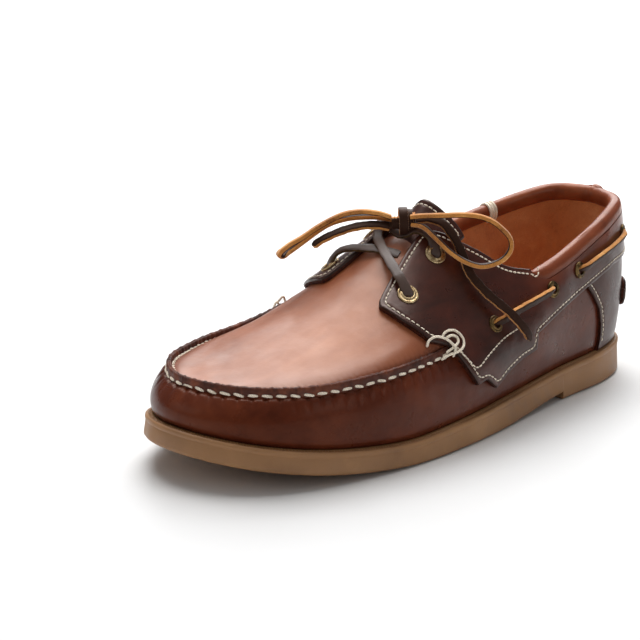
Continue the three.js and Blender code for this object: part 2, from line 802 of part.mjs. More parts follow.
const eyeletList = [
  ...FRONT_EYELETS.map((row) => ({ ...row, radius: EYELET_RADIUS })),
  ...["lat", "med"].flatMap((side) =>
    SIDE_EYELETS.map((row) => ({
      ...row,
      side,
      z: side === "med" ? row.z + (row.s > 40 ? 4 : 0.5) : row.z, // the inner collar is higher
      name: `eyelet_${side === "lat" ? "lateral" : "medial"}_${row.name}`,
      radius: SIDE_EYELET_RADIUS,
    }))
  ),
];

const EYELET_SIDES = 10;
const boreRadius = (row) => row.radius * 0.5;
const barrelRadius = (row) => boreRadius(row) + 0.5;

function turned(geometry, frame, distance) {
  const spin = new THREE.Quaternion().setFromUnitVectors(new THREE.Vector3(0, 1, 0), frame.normal);
  const at = lifted(frame, distance);
  return geometry.applyMatrix4(new THREE.Matrix4().compose(at, spin, new THREE.Vector3(1, 1, 1)));
}

// Flanged ring whose barrel goes down through the leather.
function eyelet(row) {
  const [bore, barrel] = [boreRadius(row), barrelRadius(row)];
  const profile = [
    [bore, -4.6],
    [barrel, -4.6],
    [barrel, 0],
    [row.radius, 0],
    [row.radius * 0.84, 1],
    [bore, 1],
    [bore, -4.6],
  ].map(([x, y]) => new THREE.Vector2(x, y));
  const ring = new THREE.LatheGeometry(profile, EYELET_SIDES);
  return solidOf(turned(ring, spot(row), PANEL_TOP + 0.5));
}

// Holes for every eyelet's barrel, through saddle and upper.
function holed(body) {
  return eyeletList.reduce((solid, row) => {
    const radius = barrelRadius(row) + GAP;
    const hole = new THREE.CylinderGeometry(radius, radius, 20, EYELET_SIDES);
    return solid.subtract(solidOf(turned(hole, spot(row), 0)));
  }, body);
}

// Flat thong along a run of points, its broad side facing up.
function thong(path, ups, steps) {
  const curve = new THREE.CatmullRomCurve3(path);
  const upAt = (t) => {
    const k = t * (ups.length - 1);
    const i = Math.min(Math.floor(k), ups.length - 2);
    return ups[i].clone().lerp(ups[i + 1], k - i).normalize();
  };
  const points = [];
  for (let i = 0; i <= steps; i += 1) {
    const t = i / steps;
    const tangent = curve.getTangent(t);
    const up = upAt(t);
    const side = new THREE.Vector3().crossVectors(tangent, up).normalize();
    const normal = new THREE.Vector3().crossVectors(side, tangent).normalize();
    for (const { across, through } of THONG_SECTION) {
      const point = curve.getPoint(t).addScaledVector(side, across * LACE_WIDTH);
      points.push(point.addScaledVector(normal, through * LACE_THICK));
    }
  }
  const n = THONG_SECTION.length;
  const triangles = [];
  for (let r = 0; r < steps; r += 1) {
    for (let i = 0; i < n; i += 1) {
      const [a, b] = [r * n + i, r * n + ((i + 1) % n)];
      triangles.push([a, b, b + n], [a, b + n, a + n]);
    }
  }
  for (let i = 1; i + 1 < n; i += 1) {
    const end = steps * n;
    triangles.push([0, i + 1, i], [end, end + i, end + i + 1]);
  }
  return solidOf(geometryOf(points.map((p) => p.toArray()), triangles));
}

// Outside run of the side lace between two eyelets.
function sideLace(side, from, to) {
  const rows = eyeletList.filter((row) => row.side === side);
  const [a, b] = [rows[from], rows[to]];
  const stops = [0.1, 0.2, 0.35, 0.5, 0.65, 0.8, 0.9];
  const frames = stops.map((t) => onSide(side, lerp(a.s, b.s, t), lerp(a.z, b.z, t)));
  const lift = (t) => PANEL_TOP + 2 * GAP + LACE_THICK / 2 + 1.4 * Math.sin(Math.PI * t);
  const path = frames.map((frame, i) => lifted(frame, lift(stops[i])));
  return thong(path, frames.map((frame) => frame.normal), 12);
}

const pathOf = (rows) => rows.map(({ x, s, z }) => new THREE.Vector3(...place([x, s, z])));

// The lace's runs between the front eyelets, joined where they cross.
function laceCrossing() {
  const up = (x, z) => new THREE.Vector3(x, -0.55, z).normalize();
  const low = thong(pathOf(CROSS_LOW), [up(-0.4, 1), up(0, 1), up(0.3, 1)], 12);
  const rise = thong(pathOf(CROSS_RISE), [up(0.4, 1), up(0, 1), up(0, 1)], 14);
  const high = thong(pathOf(CROSS_HIGH), [up(0.5, 1), up(0, 1), up(-0.4, 1)], 14);
  return low.add(rise).add(high);
}

function bowKnot() {
  const ball = new THREE.SphereGeometry(1, 12, 8);
  const [x, y, z] = place([KNOT.x, KNOT.s, KNOT.z]);
  return solidOf(ball.scale(...KNOT.radii).translate(x, y, z));
}

const freeLace = (rows) => tube(pathOf(rows), CORD_RADIUS, Math.round(1.3 * rows.length));

const shoe = new THREE.Group();

function addPiece(name, solid, [colour, roughness, metalness]) {
  const mesh = solid.getMesh();
  const geometry = new THREE.BufferGeometry();
  geometry.setAttribute("position", new THREE.Float32BufferAttribute(mesh.vertProperties, 3));
  geometry.setIndex(Array.from(mesh.triVerts));
  const material = new THREE.MeshStandardMaterial({ color: colour, roughness, metalness });
  const piece = new THREE.Mesh(geometry, material);
  piece.name = name;
  shoe.add(piece);
}

const LEATHER = [0x6b2f1a, 0.45, 0];
const DARK_LEATHER = [0x3a1510, 0.38, 0];
const LINING = [0xb97a4b, 0.6, 0];
const GUM = [0x9a7850, 0.7, 0];
const BRASS = [0x8a6a3a, 0.35, 0.9];

addPiece("outsole", outsole(), GUM);
addPiece("insole", insole(), LINING);
addPiece("upper", upper(), LEATHER);
addPiece("tongue", tongue(), LEATHER);
addPiece("saddle_lateral", saddle("lat"), DARK_LEATHER);
addPiece("saddle_medial", saddle("med"), DARK_LEATHER);
addPiece("heel_counter", heelCounter(), DARK_LEATHER);
addPiece("heel_patch", heelPatch(), DARK_LEATHER);
addPiece("collar_roll", collarRoll(), DARK_LEATHER);
eyeletList.forEach((row) => addPiece(row.name, eyelet(row), BRASS));
for (const [side, name] of [["lat", "lateral"], ["med", "medial"]]) {
  addPiece(`lace_side_${name}_front`, sideLace(side, 0, 1), DARK_LEATHER);
  addPiece(`lace_side_${name}_rear`, sideLace(side, 2, 3), DARK_LEATHER);
}
addPiece("lace_crossing", laceCrossing(), DARK_LEATHER);
addPiece("bow_knot", bowKnot(), DARK_LEATHER);
addPiece("bow_loop_lateral", freeLace(LOOP_LATERAL), DARK_LEATHER);
addPiece("bow_loop_medial", freeLace(LOOP_MEDIAL), DARK_LEATHER);
addPiece("lace_end_lateral", freeLace(END_LATERAL), DARK_LEATHER);
addPiece("lace_end_medial", freeLace(END_MEDIAL), DARK_LEATHER);

export default shoe;
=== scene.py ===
import math

import bmesh
import bpy
import numpy as np
from mathutils import Matrix, Vector


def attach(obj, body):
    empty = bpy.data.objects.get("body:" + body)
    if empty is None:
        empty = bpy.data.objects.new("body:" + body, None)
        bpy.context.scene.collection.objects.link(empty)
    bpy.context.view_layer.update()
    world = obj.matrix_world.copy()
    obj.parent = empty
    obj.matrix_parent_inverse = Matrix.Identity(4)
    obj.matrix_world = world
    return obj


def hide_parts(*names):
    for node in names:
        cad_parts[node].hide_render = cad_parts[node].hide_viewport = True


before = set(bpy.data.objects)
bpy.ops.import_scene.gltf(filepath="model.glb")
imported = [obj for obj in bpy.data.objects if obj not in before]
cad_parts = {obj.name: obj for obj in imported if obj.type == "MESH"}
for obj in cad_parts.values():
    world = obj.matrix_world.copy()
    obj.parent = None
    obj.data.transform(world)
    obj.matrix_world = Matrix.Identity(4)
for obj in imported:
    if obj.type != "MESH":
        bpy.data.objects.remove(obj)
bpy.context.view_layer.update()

MM = 0.001
PI = math.pi

# ------------------------------------------------------------------ driving sizes, in mm
# x points to the outer side, s runs from the heel to the toe, z is up.
HEEL_S, TOE_S = 0.7, 295.7
MIDDLE_S = (HEEL_S + TOE_S) / 2
GAP = 0.3
FEATHER_INSET = 4.5
FULLEST = 0.42
PANEL_LIFT, PANEL_TOP = 0.8, 3.0
HEEL_THICK, BALL_THICK, WEDGE_END = 18.3, 10.7, 200  # sole wall, thinning from the heel forwards
TOE_SPRING, SPRING_START, SPRING_POWER = 15.6, 187, 1.8
FLARE_START, FLARE_LENGTH = 157, 19  # where the tongue starts to stand off the foot
THROAT_X = 0.8
UPPER_WALL = 2.0
EYELET_RADIUS, SIDE_EYELET_RADIUS = 5.1, 4.2
RIDGE_HEIGHT = 3.5
COLLAR_RADIUS = 3.4
COLLAR_DROP = 2 * COLLAR_RADIUS + GAP
LACE_WIDTH, LACE_THICK = 4.0, 2.2


def table(names, rows):
    return {name: np.array([row[i] for row in rows], float) for i, name in enumerate(names)}


OUTLINE = table(("s", "lat", "med"), [
    (0.7, 0, 0), (10, 25.1, -25.4), (35, 36.8, -35.3), (75, 41.3, -34.2),
    (115, 47.6, -33.6), (155, 53.7, -40), (195, 55.5, -50.5), (235, 50.5, -53.2),
    (262, 41.6, -47.4), (282, 26.9, -36.3), (295.7, -7.5, -7.5)])
SECTIONS = table(("s", "latZ", "medZ", "latIn", "medIn", "latOut", "medOut", "crown", "slim"), [
    (0.7, 93, 93, 5.5, 5.5, 2.4, 2.4, 104, 0.6),
    (20, 91, 92, 8, 9, 2.6, 3, 108, 0.6),
    (45, 84, 85, 8.6, 4.6, 2.4, 2, 112, 0.6),
    (75, 75.5, 83, 7.4, 2.2, 1.6, 1.4, 116, 0.7),
    (100, 68, 76, 11.4, 1.4, 2, 0.6, 117, 1.05),
    (122, 59, 67, 12, 0.6, 2.8, 0.4, 111.5, 1.25),
    (146, 51.5, 61, 11.4, 0.8, 3, 1, 97.5, 1.3),
    (170, 45.2, 55.5, 9, 2.2, 3, 1.8, 81.5, 0.98),
    (195, 43.5, 49, 7, 6, 2.6, 2.4, 67, 0.92),
    (218, 42.3, 45.4, 6.4, 8, 2.5, 2.6, 58, 1),
    (250, 41.5, 43.5, 7, 8.4, 2.8, 2.8, 50, 1),
    (275, 42, 43.5, 9, 9.4, 3, 3, 45.2, 1),
    (295.7, 42.5, 42.5, 11, 11, 3.6, 3.6, 42.6, 1)])
RIDGE = table(("s", "lat", "med"), [
    (0.7, 0, 0), (162, 0, 0), (172, 1, 0), (181, 1, 0.1), (190, 1, 1), (295.7, 1, 1)])
COLLAR = table(("s", "lat", "med"), [
    (0.7, 93, 93), (20, 90.6, 91.4), (45, 83.6, 86), (75, 75, 82), (96, 69.5, 77)])
THROAT = table(("s", "lat", "med"), [
    (100, 33.4, -32.6), (116, 30, -29.5), (127, 26, -25), (138, 20.5, -18.5),
    (145, 14.6, -12.4), (151, 10.4, -9), (160, 11, -9), (173, 14, -11), (184, 17.4, -13.6),
    (192, 20.6, -16.6), (197, 22.6, -18.6)])
SADDLE_EDGE = table(("s", "z"), [
    (-12, 64), (1.5, 63.5), (34, 61), (60, 54.5), (81, 48.5), (104, 41), (106, 33.5),
    (119, 31.5), (131, 28), (141, 23.2), (149, 29), (156, 28), (161, 35), (166.5, 43),
    (171, 48.2), (180, 51), (188, 60), (192.5, 66), (194, 80)])
COUNTER_EDGE = table(("s", "z"), [
    (-20, 0), (40.9, 0), (41.5, 24), (43, 32.5), (46, 41), (52.5, 49.5), (56.5, 53.6)])
ARCH = table(("s", "z"), [
    (75.6, 0), (76, 3.6), (90, 2.9), (99, 2.1), (112, 1), (124, 0)])
FRONT_EYELETS = {
    "eyelet_lateral_low": (25, 176), "eyelet_lateral_high": (19.5, 152),
    "eyelet_medial_low": (-21.5, 177), "eyelet_medial_high": (-17.5, 153)}
SIDE_EYELETS = [(135, 50.4), (89, 59), (66, 64.5), (19, 74.5)]

CROSS_LOW = [
    (-20.5, 176.8, 80.6), (-16, 175, 83.4), (-10, 172.5, 84.6), (-3, 169.6, 85),
    (3, 167, 84.6), (8.6, 164.6, 83.4)]
CROSS_RISE = [
    (22.6, 177.9, 76.8), (18.4, 177, 79.6), (11.5, 174.5, 83.2), (3, 170, 86.2),
    (-4.6, 165.2, 88.9), (-8.6, 161, 91.2), (-10.4, 157.6, 93.6), (-10.6, 155.2, 95.2)]
CROSS_HIGH = [
    (17.4, 152.2, 91.4), (12.6, 153.8, 94), (9, 155, 94), (5.8, 156.4, 91.9),
    (2.6, 157.4, 91), (-2, 156.8, 92), (-6, 155.8, 94.2), (-10, 154.9, 95.6),
    (-15.4, 153.6, 93.4)]
KNOT = (3.6, 157, 97.7)
LOOP_LATERAL = [
    (8.8, 157.4, 100.6), (15, 153.4, 101.6), (22, 148.4, 102.3), (28, 143.6, 102.9),
    (34, 138.9, 102.6), (39, 134.8, 100.6), (42.6, 131.4, 97), (44.8, 128.2, 92.6),
    (45.4, 127.6, 88), (44.4, 130, 83.6), (41.4, 134.2, 80.6), (37.4, 140, 79.6),
    (32.6, 145.6, 82), (27, 149.8, 86.2), (21, 153.4, 92.2), (15.4, 155.2, 96.4),
    (9.6, 156.6, 97)]
LOOP_MEDIAL = [
    (-2.2, 159.4, 98.8), (-7, 163.2, 100.4), (-13, 168, 100.8), (-18.6, 173, 99.6),
    (-23.4, 178, 96.6), (-27.6, 183.6, 92.6), (-31.2, 189.2, 88.2), (-34.6, 194.2, 84.8),
    (-37.8, 196.6, 81.2), (-39.8, 194.6, 78.6), (-39.6, 190, 79.6), (-36.6, 184, 84),
    (-29.6, 175.6, 92), (-23.6, 169, 95.4), (-16.6, 163, 96.8), (-9.4, 158.6, 97.2),
    (-2.6, 155.8, 96.8)]
END_LATERAL = [
    (6.8, 152, 98), (12, 147.6, 98.6), (18, 144.4, 96.6), (24, 143, 90.4),
    (29, 142.8, 83.4), (33.5, 142.2, 75.6), (37, 140.4, 71), (40.4, 137.4, 66.4),
    (44, 133, 61.6), (47.8, 128.4, 56.6), (51, 124.6, 51.4), (52.2, 121, 46.8),
    (51.6, 117.8, 42.6)]
END_MEDIAL = [
    (-1.8, 160.8, 94.6), (-6, 165.2, 95.2), (-10.6, 170.2, 94.8), (-15, 175.4, 93.2),
    (-19.4, 180.4, 90.6), (-23.4, 184.4, 87.6), (-26.4, 186.8, 84.6)]


# ------------------------------------------------------------------ interpolation
def hermite(keys, values, at):
    """Smooth curve through a table's column, held level beyond both ends."""
    x = np.clip(at, keys[0], keys[-1])
    last = len(keys) - 1
    i = np.clip(np.searchsorted(keys, x, side="left") - 1, 0, last - 1)
    lo, hi = np.maximum(np.arange(last + 1) - 1, 0), np.minimum(np.arange(last + 1) + 1, last)
    slope = (values[hi] - values[lo]) / (keys[hi] - keys[lo])
    span = keys[i + 1] - keys[i]
    t = (x - keys[i]) / span
    t2, t3 = t * t, t * t * t
    return ((2 * t3 - 3 * t2 + 1) * values[i] + (t3 - 2 * t2 + t) * slope[i] * span
            + (3 * t2 - 2 * t3) * values[i + 1] + (t3 - t2) * slope[i + 1] * span)


def section(name, s):
    return hermite(SECTIONS["s"], SECTIONS[name], s)


def phi_of(s):
    return np.arccos(np.clip(1 - 2 * (np.asarray(s, float) - HEEL_S) / (TOE_S - HEEL_S), -1, 1))


def s_of(phi):
    return HEEL_S + (TOE_S - HEEL_S) * (1 - np.cos(phi)) / 2


def smooth(x):
    t = np.clip(x, 0, 1)
    return t * t * (3 - 2 * t)


def unit(v):
    return v / np.maximum(np.linalg.norm(v, axis=-1, keepdims=True), 1e-9)


OUTLINE_PHI = phi_of(OUTLINE["s"])
_edge = [hermite(OUTLINE_PHI, OUTLINE[side], np.linspace(0, PI, 201)) for side in ("lat", "med")]
MIDDLE_X = (min(_edge[1].min(), _edge[0].min()) + max(_edge[0].max(), _edge[1].max())) / 2


def row(x, s, z):
    """From the shoe's own x, s, z to the model frame, still in mm."""
    return np.stack(np.broadcast_arrays(x - MIDDLE_X, MIDDLE_S - s, z), -1).astype(float)


def toe_spring(s):
    return TOE_SPRING * np.maximum(0, (s - SPRING_START) / (TOE_S + 2.3 - SPRING_START)) ** SPRING_POWER


def ground(s):
    return toe_spring(s) + np.interp(s, ARCH["s"], ARCH["z"])


def sole_top(s):
    return toe_spring(s) + HEEL_THICK + (BALL_THICK - HEEL_THICK) * np.minimum(1, s / WEDGE_END)


# ------------------------------------------------------------------ the last
def inset_point(side, phi, inset):
    """x and s of a point a given distance inside the sole's outline."""
    def line(angle):
        return hermite(OUTLINE_PHI, OUTLINE[side], angle), s_of(angle)
    (ax, a_s), (bx, b_s) = line(np.maximum(phi - 0.02, 0)), line(np.minimum(phi + 0.02, PI))
    x, s = line(phi)
    dx, ds = bx - ax, b_s - a_s
    length = np.hypot(dx, ds)
    turn = -1 if side == "lat" else 1
    return x + turn * ds * inset / length, s - turn * dx * inset / length


def wall(side, phi, v):
    s = s_of(phi)
    f = FULLEST
    a, b, c = (v - f) * (v - 1) / f, v * (v - 1) / (f * (f - 1)), v * (v - f) / (1 - f)
    inset = a * FEATHER_INSET + b * section(side + "Out", s) + c * section(side + "In", s)
    x, ps = inset_point(side, phi, inset)
    low = sole_top(ps) + GAP
    return np.stack([x, ps, low + (section(side + "Z", s) - low) * v], -1)


def crown(phi, t, flare=0.0):
    s = s_of(phi)
    one = np.ones_like(phi + t)
    lat, med = wall("lat", phi * one, one), wall("med", phi * one, one)
    base = med + (lat - med) * ((t + 1) / 2)[..., None]
    rise = np.maximum(0, section("crown", s) - (lat[..., 2] + med[..., 2]) / 2)
    curve = np.maximum(0, 1 - t * t) ** section("slim", s)
    half = hermite(THROAT["s"], THROAT["lat"], s) - 0.8
    away = np.minimum(1, np.abs(base[..., 0] - 0.8) / half)
    lift = flare * (np.maximum(0, FLARE_START - s) / FLARE_LENGTH) ** 1.5 * (1 - away * away) ** 3
    out = base.copy()
    out[..., 2] += rise * curve + lift
    return out


def even_steps(points, count):
    """Resample each polyline of an array (rows, n, 3) at even distances."""
    out = np.empty((len(points), count, 3))
    for k, line in enumerate(points):
        step = np.linalg.norm(np.diff(line, axis=0), axis=1)
        at = np.concatenate([[0], np.cumsum(step)])
        goal = np.linspace(0, at[-1], count)
        for axis in range(3):
            out[k, :, axis] = np.interp(goal, at, line[:, axis])
    return out


RUNGS, WALL_STEPS, CROWN_STEPS, PAD = 420, 36, 64, 3


def make_chart(flare=0.0):
    """Points and outward directions of the last on a grid of rungs, in the model frame."""
    phi = np.linspace(0, PI, RUNGS + 1)
    v = np.linspace(0, 1, 49)
    t = np.cos(np.linspace(0, PI / 2, 90))
    quarter = {}
    for side, sign in (("lat", 1), ("med", -1)):
        low = even_steps(wall(side, phi[:, None], v[None, :]), WALL_STEPS + 1)
        high = even_steps(crown(phi[:, None], sign * t[None, :], flare), CROWN_STEPS + 1)
        quarter[side] = np.concatenate([low, high[:, 1:]], 1)
    grid = np.concatenate([quarter["lat"], quarter["med"][:, -2::-1]], 1)
    columns = grid.shape[1]
    j = np.arange(columns)
    near = np.minimum(np.abs(j - WALL_STEPS), np.abs(columns - 1 - j - WALL_STEPS))
    share = [np.clip(hermite(RIDGE["s"], RIDGE[side], s_of(phi)), 0, 1) for side in ("lat", "med")]
    ridged = np.where(j[None, :] < columns / 2, share[0][:, None], share[1][:, None])
    soften = (1 - ridged) * smooth((9 - near) / 4)[None, :] * (phi < 2.2)[:, None]
    for _ in range(14):
        middle = (grid[:, :-2] + grid[:, 2:]) / 2
        grid[:, 1:-1] += 0.5 * soften[:, 1:-1, None] * (middle - grid[:, 1:-1])
    grid = row(grid[..., 0], grid[..., 1], grid[..., 2])

    def extend(g):
        return np.concatenate([g[1:PAD + 1][::-1, ::-1], g, g[-PAD - 1:-1][::-1, ::-1]], 0)
    for _ in range(3):
        g = extend(grid)
        grid = 0.5 * grid + 0.25 * (g[PAD - 1:-PAD - 1] + g[PAD + 1:len(g) - PAD + 1])
    g = extend(grid)
    along = np.gradient(g, axis=0)
    across = np.gradient(g, axis=1)
    normal = unit(np.cross(across, along))
    flat = np.linalg.norm(np.cross(across, along), axis=-1) < 1e-5
    normal[flat] = (0, 0, 1)
    heart = row(np.zeros(len(g)), np.clip(MIDDLE_S - g[:, 0, 1], 40, 250), np.full(len(g), 25.0))
    turned = np.sum(normal * (g - heart[:, None]), -1) < 0
    normal[turned] *= -1
    for _ in range(4):
        normal[:, 1:-1] = unit(normal[:, :-2] + 2 * normal[:, 1:-1] + normal[:, 2:])
    return g, normal


CHART = make_chart()


def cubic(field, i, j):
    """Catmull-Rom reading of a grid at fractional places."""
    def weights(t):
        return (-0.5 * t + t * t - 0.5 * t ** 3, 1 - 2.5 * t * t + 1.5 * t ** 3,
                0.5 * t + 2 * t * t - 1.5 * t ** 3, -0.5 * t * t + 0.5 * t ** 3)
    i0, j0 = np.floor(i).astype(int), np.floor(j).astype(int)
    wi, wj = weights(i - i0), weights(j - j0)
    out = 0
    for a in range(4):
        ia = np.clip(i0 + a - 1, 0, field.shape[0] - 1)
        for b in range(4):
            jb = np.clip(j0 + b - 1, 0, field.shape[1] - 1)
            out = out + (wi[a] * wj[b])[..., None] * field[ia, jb]
    return out


def surface(theta, u, chart=None):
    """Point and direction. theta turns from the heel, outer side positive; u is 0 at the
    sole, 1 at the shoulder and 2 on the middle line."""
    points, normals = chart or CHART
    theta, u = np.broadcast_arrays(np.asarray(theta, float), np.asarray(u, float))
    j = np.where(u <= 1, u * WALL_STEPS, WALL_STEPS + (u - 1) * CROWN_STEPS)
    j = np.where(theta < 0, 2 * (WALL_STEPS + CROWN_STEPS) - j, j)
    i = np.abs(theta) / PI * RUNGS + PAD
    return cubic(points, i, j), unit(cubic(normals, i, j))


def own(points):
    """Back from the model frame to the shoe's own x, s, z."""
    return points[..., 0] + MIDDLE_X, MIDDLE_S - points[..., 1], points[..., 2]


def crossing(theta, test):
    """u where a signed test of the surface first turns positive, going up each column."""
    u = np.linspace(0, 2, 401)
    p, _ = surface(theta[:, None], u[None, :])
    f = test(*own(p))
    k = np.argmax(f > 0, 1)
    k = np.where((f > 0).any(1), k, len(u) - 1)
    k = np.maximum(k, 1)
    n = np.arange(len(theta))
    a, b = f[n, k - 1], f[n, k]
    share = np.where(b > a, np.clip(-a / np.where(b > a, b - a, 1), 0, 1), 0)
    return u[k - 1] + share * (u[k] - u[k - 1])


def locate_side(side, s, z, distance=0.0):
    """Point and direction at a distance from the heel and a height, on one side."""
    sign = 1 if side == "lat" else -1
    s, z = np.atleast_1d(np.asarray(s, float)), np.atleast_1d(np.asarray(z, float))
    goal = s.copy()
    for _ in range(4):
        theta = sign * phi_of(goal)
        u = np.array([crossing(np.array([t]), lambda x, ss, zz, h=h: zz - h)[0]
                      for t, h in zip(theta, z)])
        p, n = surface(theta, u)
        goal = np.clip(goal + s - own(p)[1], HEEL_S, TOE_S)
    return p + n * distance, n


def locate_top(x, s, distance=0.0):
    """Point and direction at a place seen from above."""
    sign = 1 if x > THROAT_X else -1
    theta = np.array([sign * phi_of(s)])
    u = crossing(theta, lambda xx, ss, zz: (x - xx) * sign)
    p, n = surface(theta, u)
    return p[0] + n[0] * distance, n[0]


# ------------------------------------------------------------------ meshes
def new_object(name, points, faces, materials, face_slots=None, sharp=40):
    mesh = bpy.data.meshes.new(name)
    mesh.from_pydata((np.asarray(points) * MM).tolist(), [], [list(f) for f in faces])
    for material in materials:
        mesh.materials.append(material)
    if face_slots is not None:
        mesh.polygons.foreach_set("material_index", np.asarray(face_slots, np.int32))
    mesh.polygons.foreach_set("use_smooth", np.ones(len(mesh.polygons), bool))
    mesh.validate()
    mesh.set_sharp_from_angle(angle=math.radians(sharp))
    obj = bpy.data.objects.new(name, mesh)
    bpy.context.scene.collection.objects.link(obj)
    return obj


def store(obj, name, values):
    layer = obj.data.attributes.new(name, "FLOAT", "POINT")
    layer.data.foreach_set("value", np.asarray(values, np.float32).ravel())


def finish_piece(obj, nodes=()):
    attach(obj, "root")
    if nodes:
        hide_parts(*nodes)
    return obj


def tidy_mesh(obj, distance=2e-6):
    """Merge doubled points, drop faces without area and turn all faces outwards."""
    bm = bmesh.new()
    bm.from_mesh(obj.data)
    bmesh.ops.remove_doubles(bm, verts=bm.verts, dist=distance)
    bmesh.ops.dissolve_degenerate(bm, edges=bm.edges, dist=distance / 2)
    bmesh.ops.recalc_face_normals(bm, faces=bm.faces)
    bm.to_mesh(obj.data)
    bm.free()
    return obj


def grid_faces(count_a, count_b, start=0, flip=False, wrap=False):
    a = np.arange(count_a if wrap else count_a - 1)
    b = np.arange(count_b - 1)
    i = (a[:, None] * count_b + b[None, :]).ravel()
    k = (((a + 1) % count_a)[:, None] * count_b + b[None, :]).ravel()
    quads = np.stack([i, k, k + 1, i + 1], 1) + start
    return quads[:, ::-1] if flip else quads


def hoop_faces(hoops, sides, wrap=False):
    """Quads between neighbouring closed rings of points."""
    faces = []
    for r in range(hoops if wrap else hoops - 1):
        here, there = r * sides, (r + 1) % hoops * sides
        for i in range(sides):
            j = (i + 1) % sides
            faces.append((here + i, here + j, there + j, there + i))
    return faces


def end_faces(hoops, sides):
    """The two flat ends of an open run of rings."""
    return [tuple(range(sides)), tuple((hoops - 1) * sides + i for i in range(sides))[::-1]]


def slab(name, top, bottom, materials, wrap=False):
    """Closed sheet between two grids of the same size: faces, rims and their slots."""
    ca, cb = top.shape[:2]
    points = np.concatenate([top.reshape(-1, 3), bottom.reshape(-1, 3)])
    n = ca * cb
    upper, lower = grid_faces(ca, cb, 0, False, wrap), grid_faces(ca, cb, n, True, wrap)
    index = np.arange(n).reshape(ca, cb)
    rims = [index[:, 0], index[:, -1][::-1]]
    if wrap:
        rims = [np.append(index[:, 0], index[0, 0]), np.append(index[:, -1], index[0, -1])[::-1]]
    else:
        rims += [index[-1, :], index[0, ::-1]]
    sides = np.concatenate([np.stack([r[1:], r[:-1], r[:-1] + n, r[1:] + n], 1) for r in rims])
    faces = np.concatenate([upper, lower, sides])
    slots = np.concatenate([np.zeros(len(upper)), np.full(len(lower), min(2, len(materials) - 1)),
                            np.full(len(sides), min(1, len(materials) - 1))])
    return new_object(name, points, faces, materials, slots)


def nearest(points, line):
    """Distance from each point to a dense line of points."""
    best = np.full(len(points), 1e9)
    for k in range(0, len(points), 2000):
        d = np.linalg.norm(points[k:k + 2000, None] - line[None], axis=-1)
        best[k:k + 2000] = d.min(1)
    return best


def column_rows(theta, low, high, offsets, inner):
    """u for each column: given distances in mm from both ends, and even steps between."""
    fine = np.linspace(0, 1, 81)
    u = low[:, None] + (high - low)[:, None] * fine[None, :]
    p, _ = surface(theta[:, None], u)
    step = np.linalg.norm(np.diff(p, axis=1), axis=-1)
    at = np.concatenate([np.zeros((len(theta), 1)), np.cumsum(step, 1)], 1)
    out = []
    for k in range(len(theta)):
        length = at[k, -1]
        edge = np.array(offsets) * min(1, 0.32 * length / offsets[-1])
        middle = np.linspace(edge[-1], length - edge[-1], inner + 2)[1:-1]
        goal = np.concatenate([edge, middle, (length - edge)[::-1]])
        out.append(np.interp(goal, at[k], u[k]))
    return np.array(out)


EDGE_STEPS = (0, 0.3, 0.7, 1.2, 1.9, 2.7, 3.5, 4.6)
STITCH_IN = 2.7


def panel(name, theta, low, high, base, top, materials, inner=30, radius=1.1, dents=None,
          free=("low", "high", "start", "end"), flush_before=-1.0):
    """Leather overlay: a grid of columns between two edges, with rounded, cut edges."""
    u = column_rows(theta, low, high, EDGE_STEPS, inner)
    th = np.repeat(theta[:, None], u.shape[1], 1)
    p, n = surface(th, u)
    mid = p + n * ((base + top) / 2)
    sides = {"low": mid[:, 0], "high": mid[:, -1], "start": mid[0], "end": mid[-1]}
    cut = {**sides, "high": sides["high"][own(sides["high"])[1] > flush_before]}
    line = np.concatenate([cut[k] for k in free])
    d = nearest(mid.reshape(-1, 3), line).reshape(mid.shape[:2])
    round_in = np.clip(d / radius, 0, 1)
    height = base + (top - base) * (0.55 + 0.45 * np.sqrt(1 - (1 - round_in) ** 2))
    height = height - 0.22 * np.exp(-((d - STITCH_IN) / 0.8) ** 2)
    if dents is not None:
        height = height + dents(*own(mid))
    obj = slab(name, p + n * height[..., None], p + n * base, materials)
    store(obj, "edge", np.concatenate([d.ravel(), np.zeros(d.size)]))
    x, s_at, z = own(mid)
    lat_z, med_z = (hermite(COLLAR["s"], COLLAR[side], s_at) for side in ("lat", "med"))
    side_z = np.where(x > THROAT_X, lat_z, med_z)
    glow = smooth(1 - (side_z - COLLAR_DROP - z) / 9.0) * smooth((112 - s_at) / 26) * (flush_before > 0)
    store(obj, "blend", np.concatenate([glow.ravel(), glow.ravel()]))
    tidy_mesh(obj)
    return obj, {"top": p + n * height[..., None], "normal": n, "sides": sides}


# ------------------------------------------------------------------ lines, threads and laces
def resample(points, step=None, count=None):
    points = np.asarray(points, float)
    at = np.concatenate([[0], np.cumsum(np.linalg.norm(np.diff(points, axis=0), axis=1))])
    if count is None:
        count = max(2, int(round(at[-1] / step)) + 1)
    goal = np.linspace(0, at[-1], count)
    return np.stack([np.interp(goal, at, points[:, k]) for k in range(points.shape[1])], 1)


def spline(points, count):
    """Catmull-Rom curve through the points."""
    p = np.asarray(points, float)
    p = np.concatenate([[2 * p[0] - p[1]], p, [2 * p[-1] - p[-2]]])
    t = np.linspace(0, len(p) - 3 - 1e-9, count)
    i = np.floor(t).astype(int)
    t = (t - i)[:, None]
    a, b, c, d = p[i], p[i + 1], p[i + 2], p[i + 3]
    return 0.5 * (2 * b + (c - a) * t + (2 * a - 5 * b + 4 * c - d) * t ** 2
                  + (3 * b - a - 3 * c + d) * t ** 3)


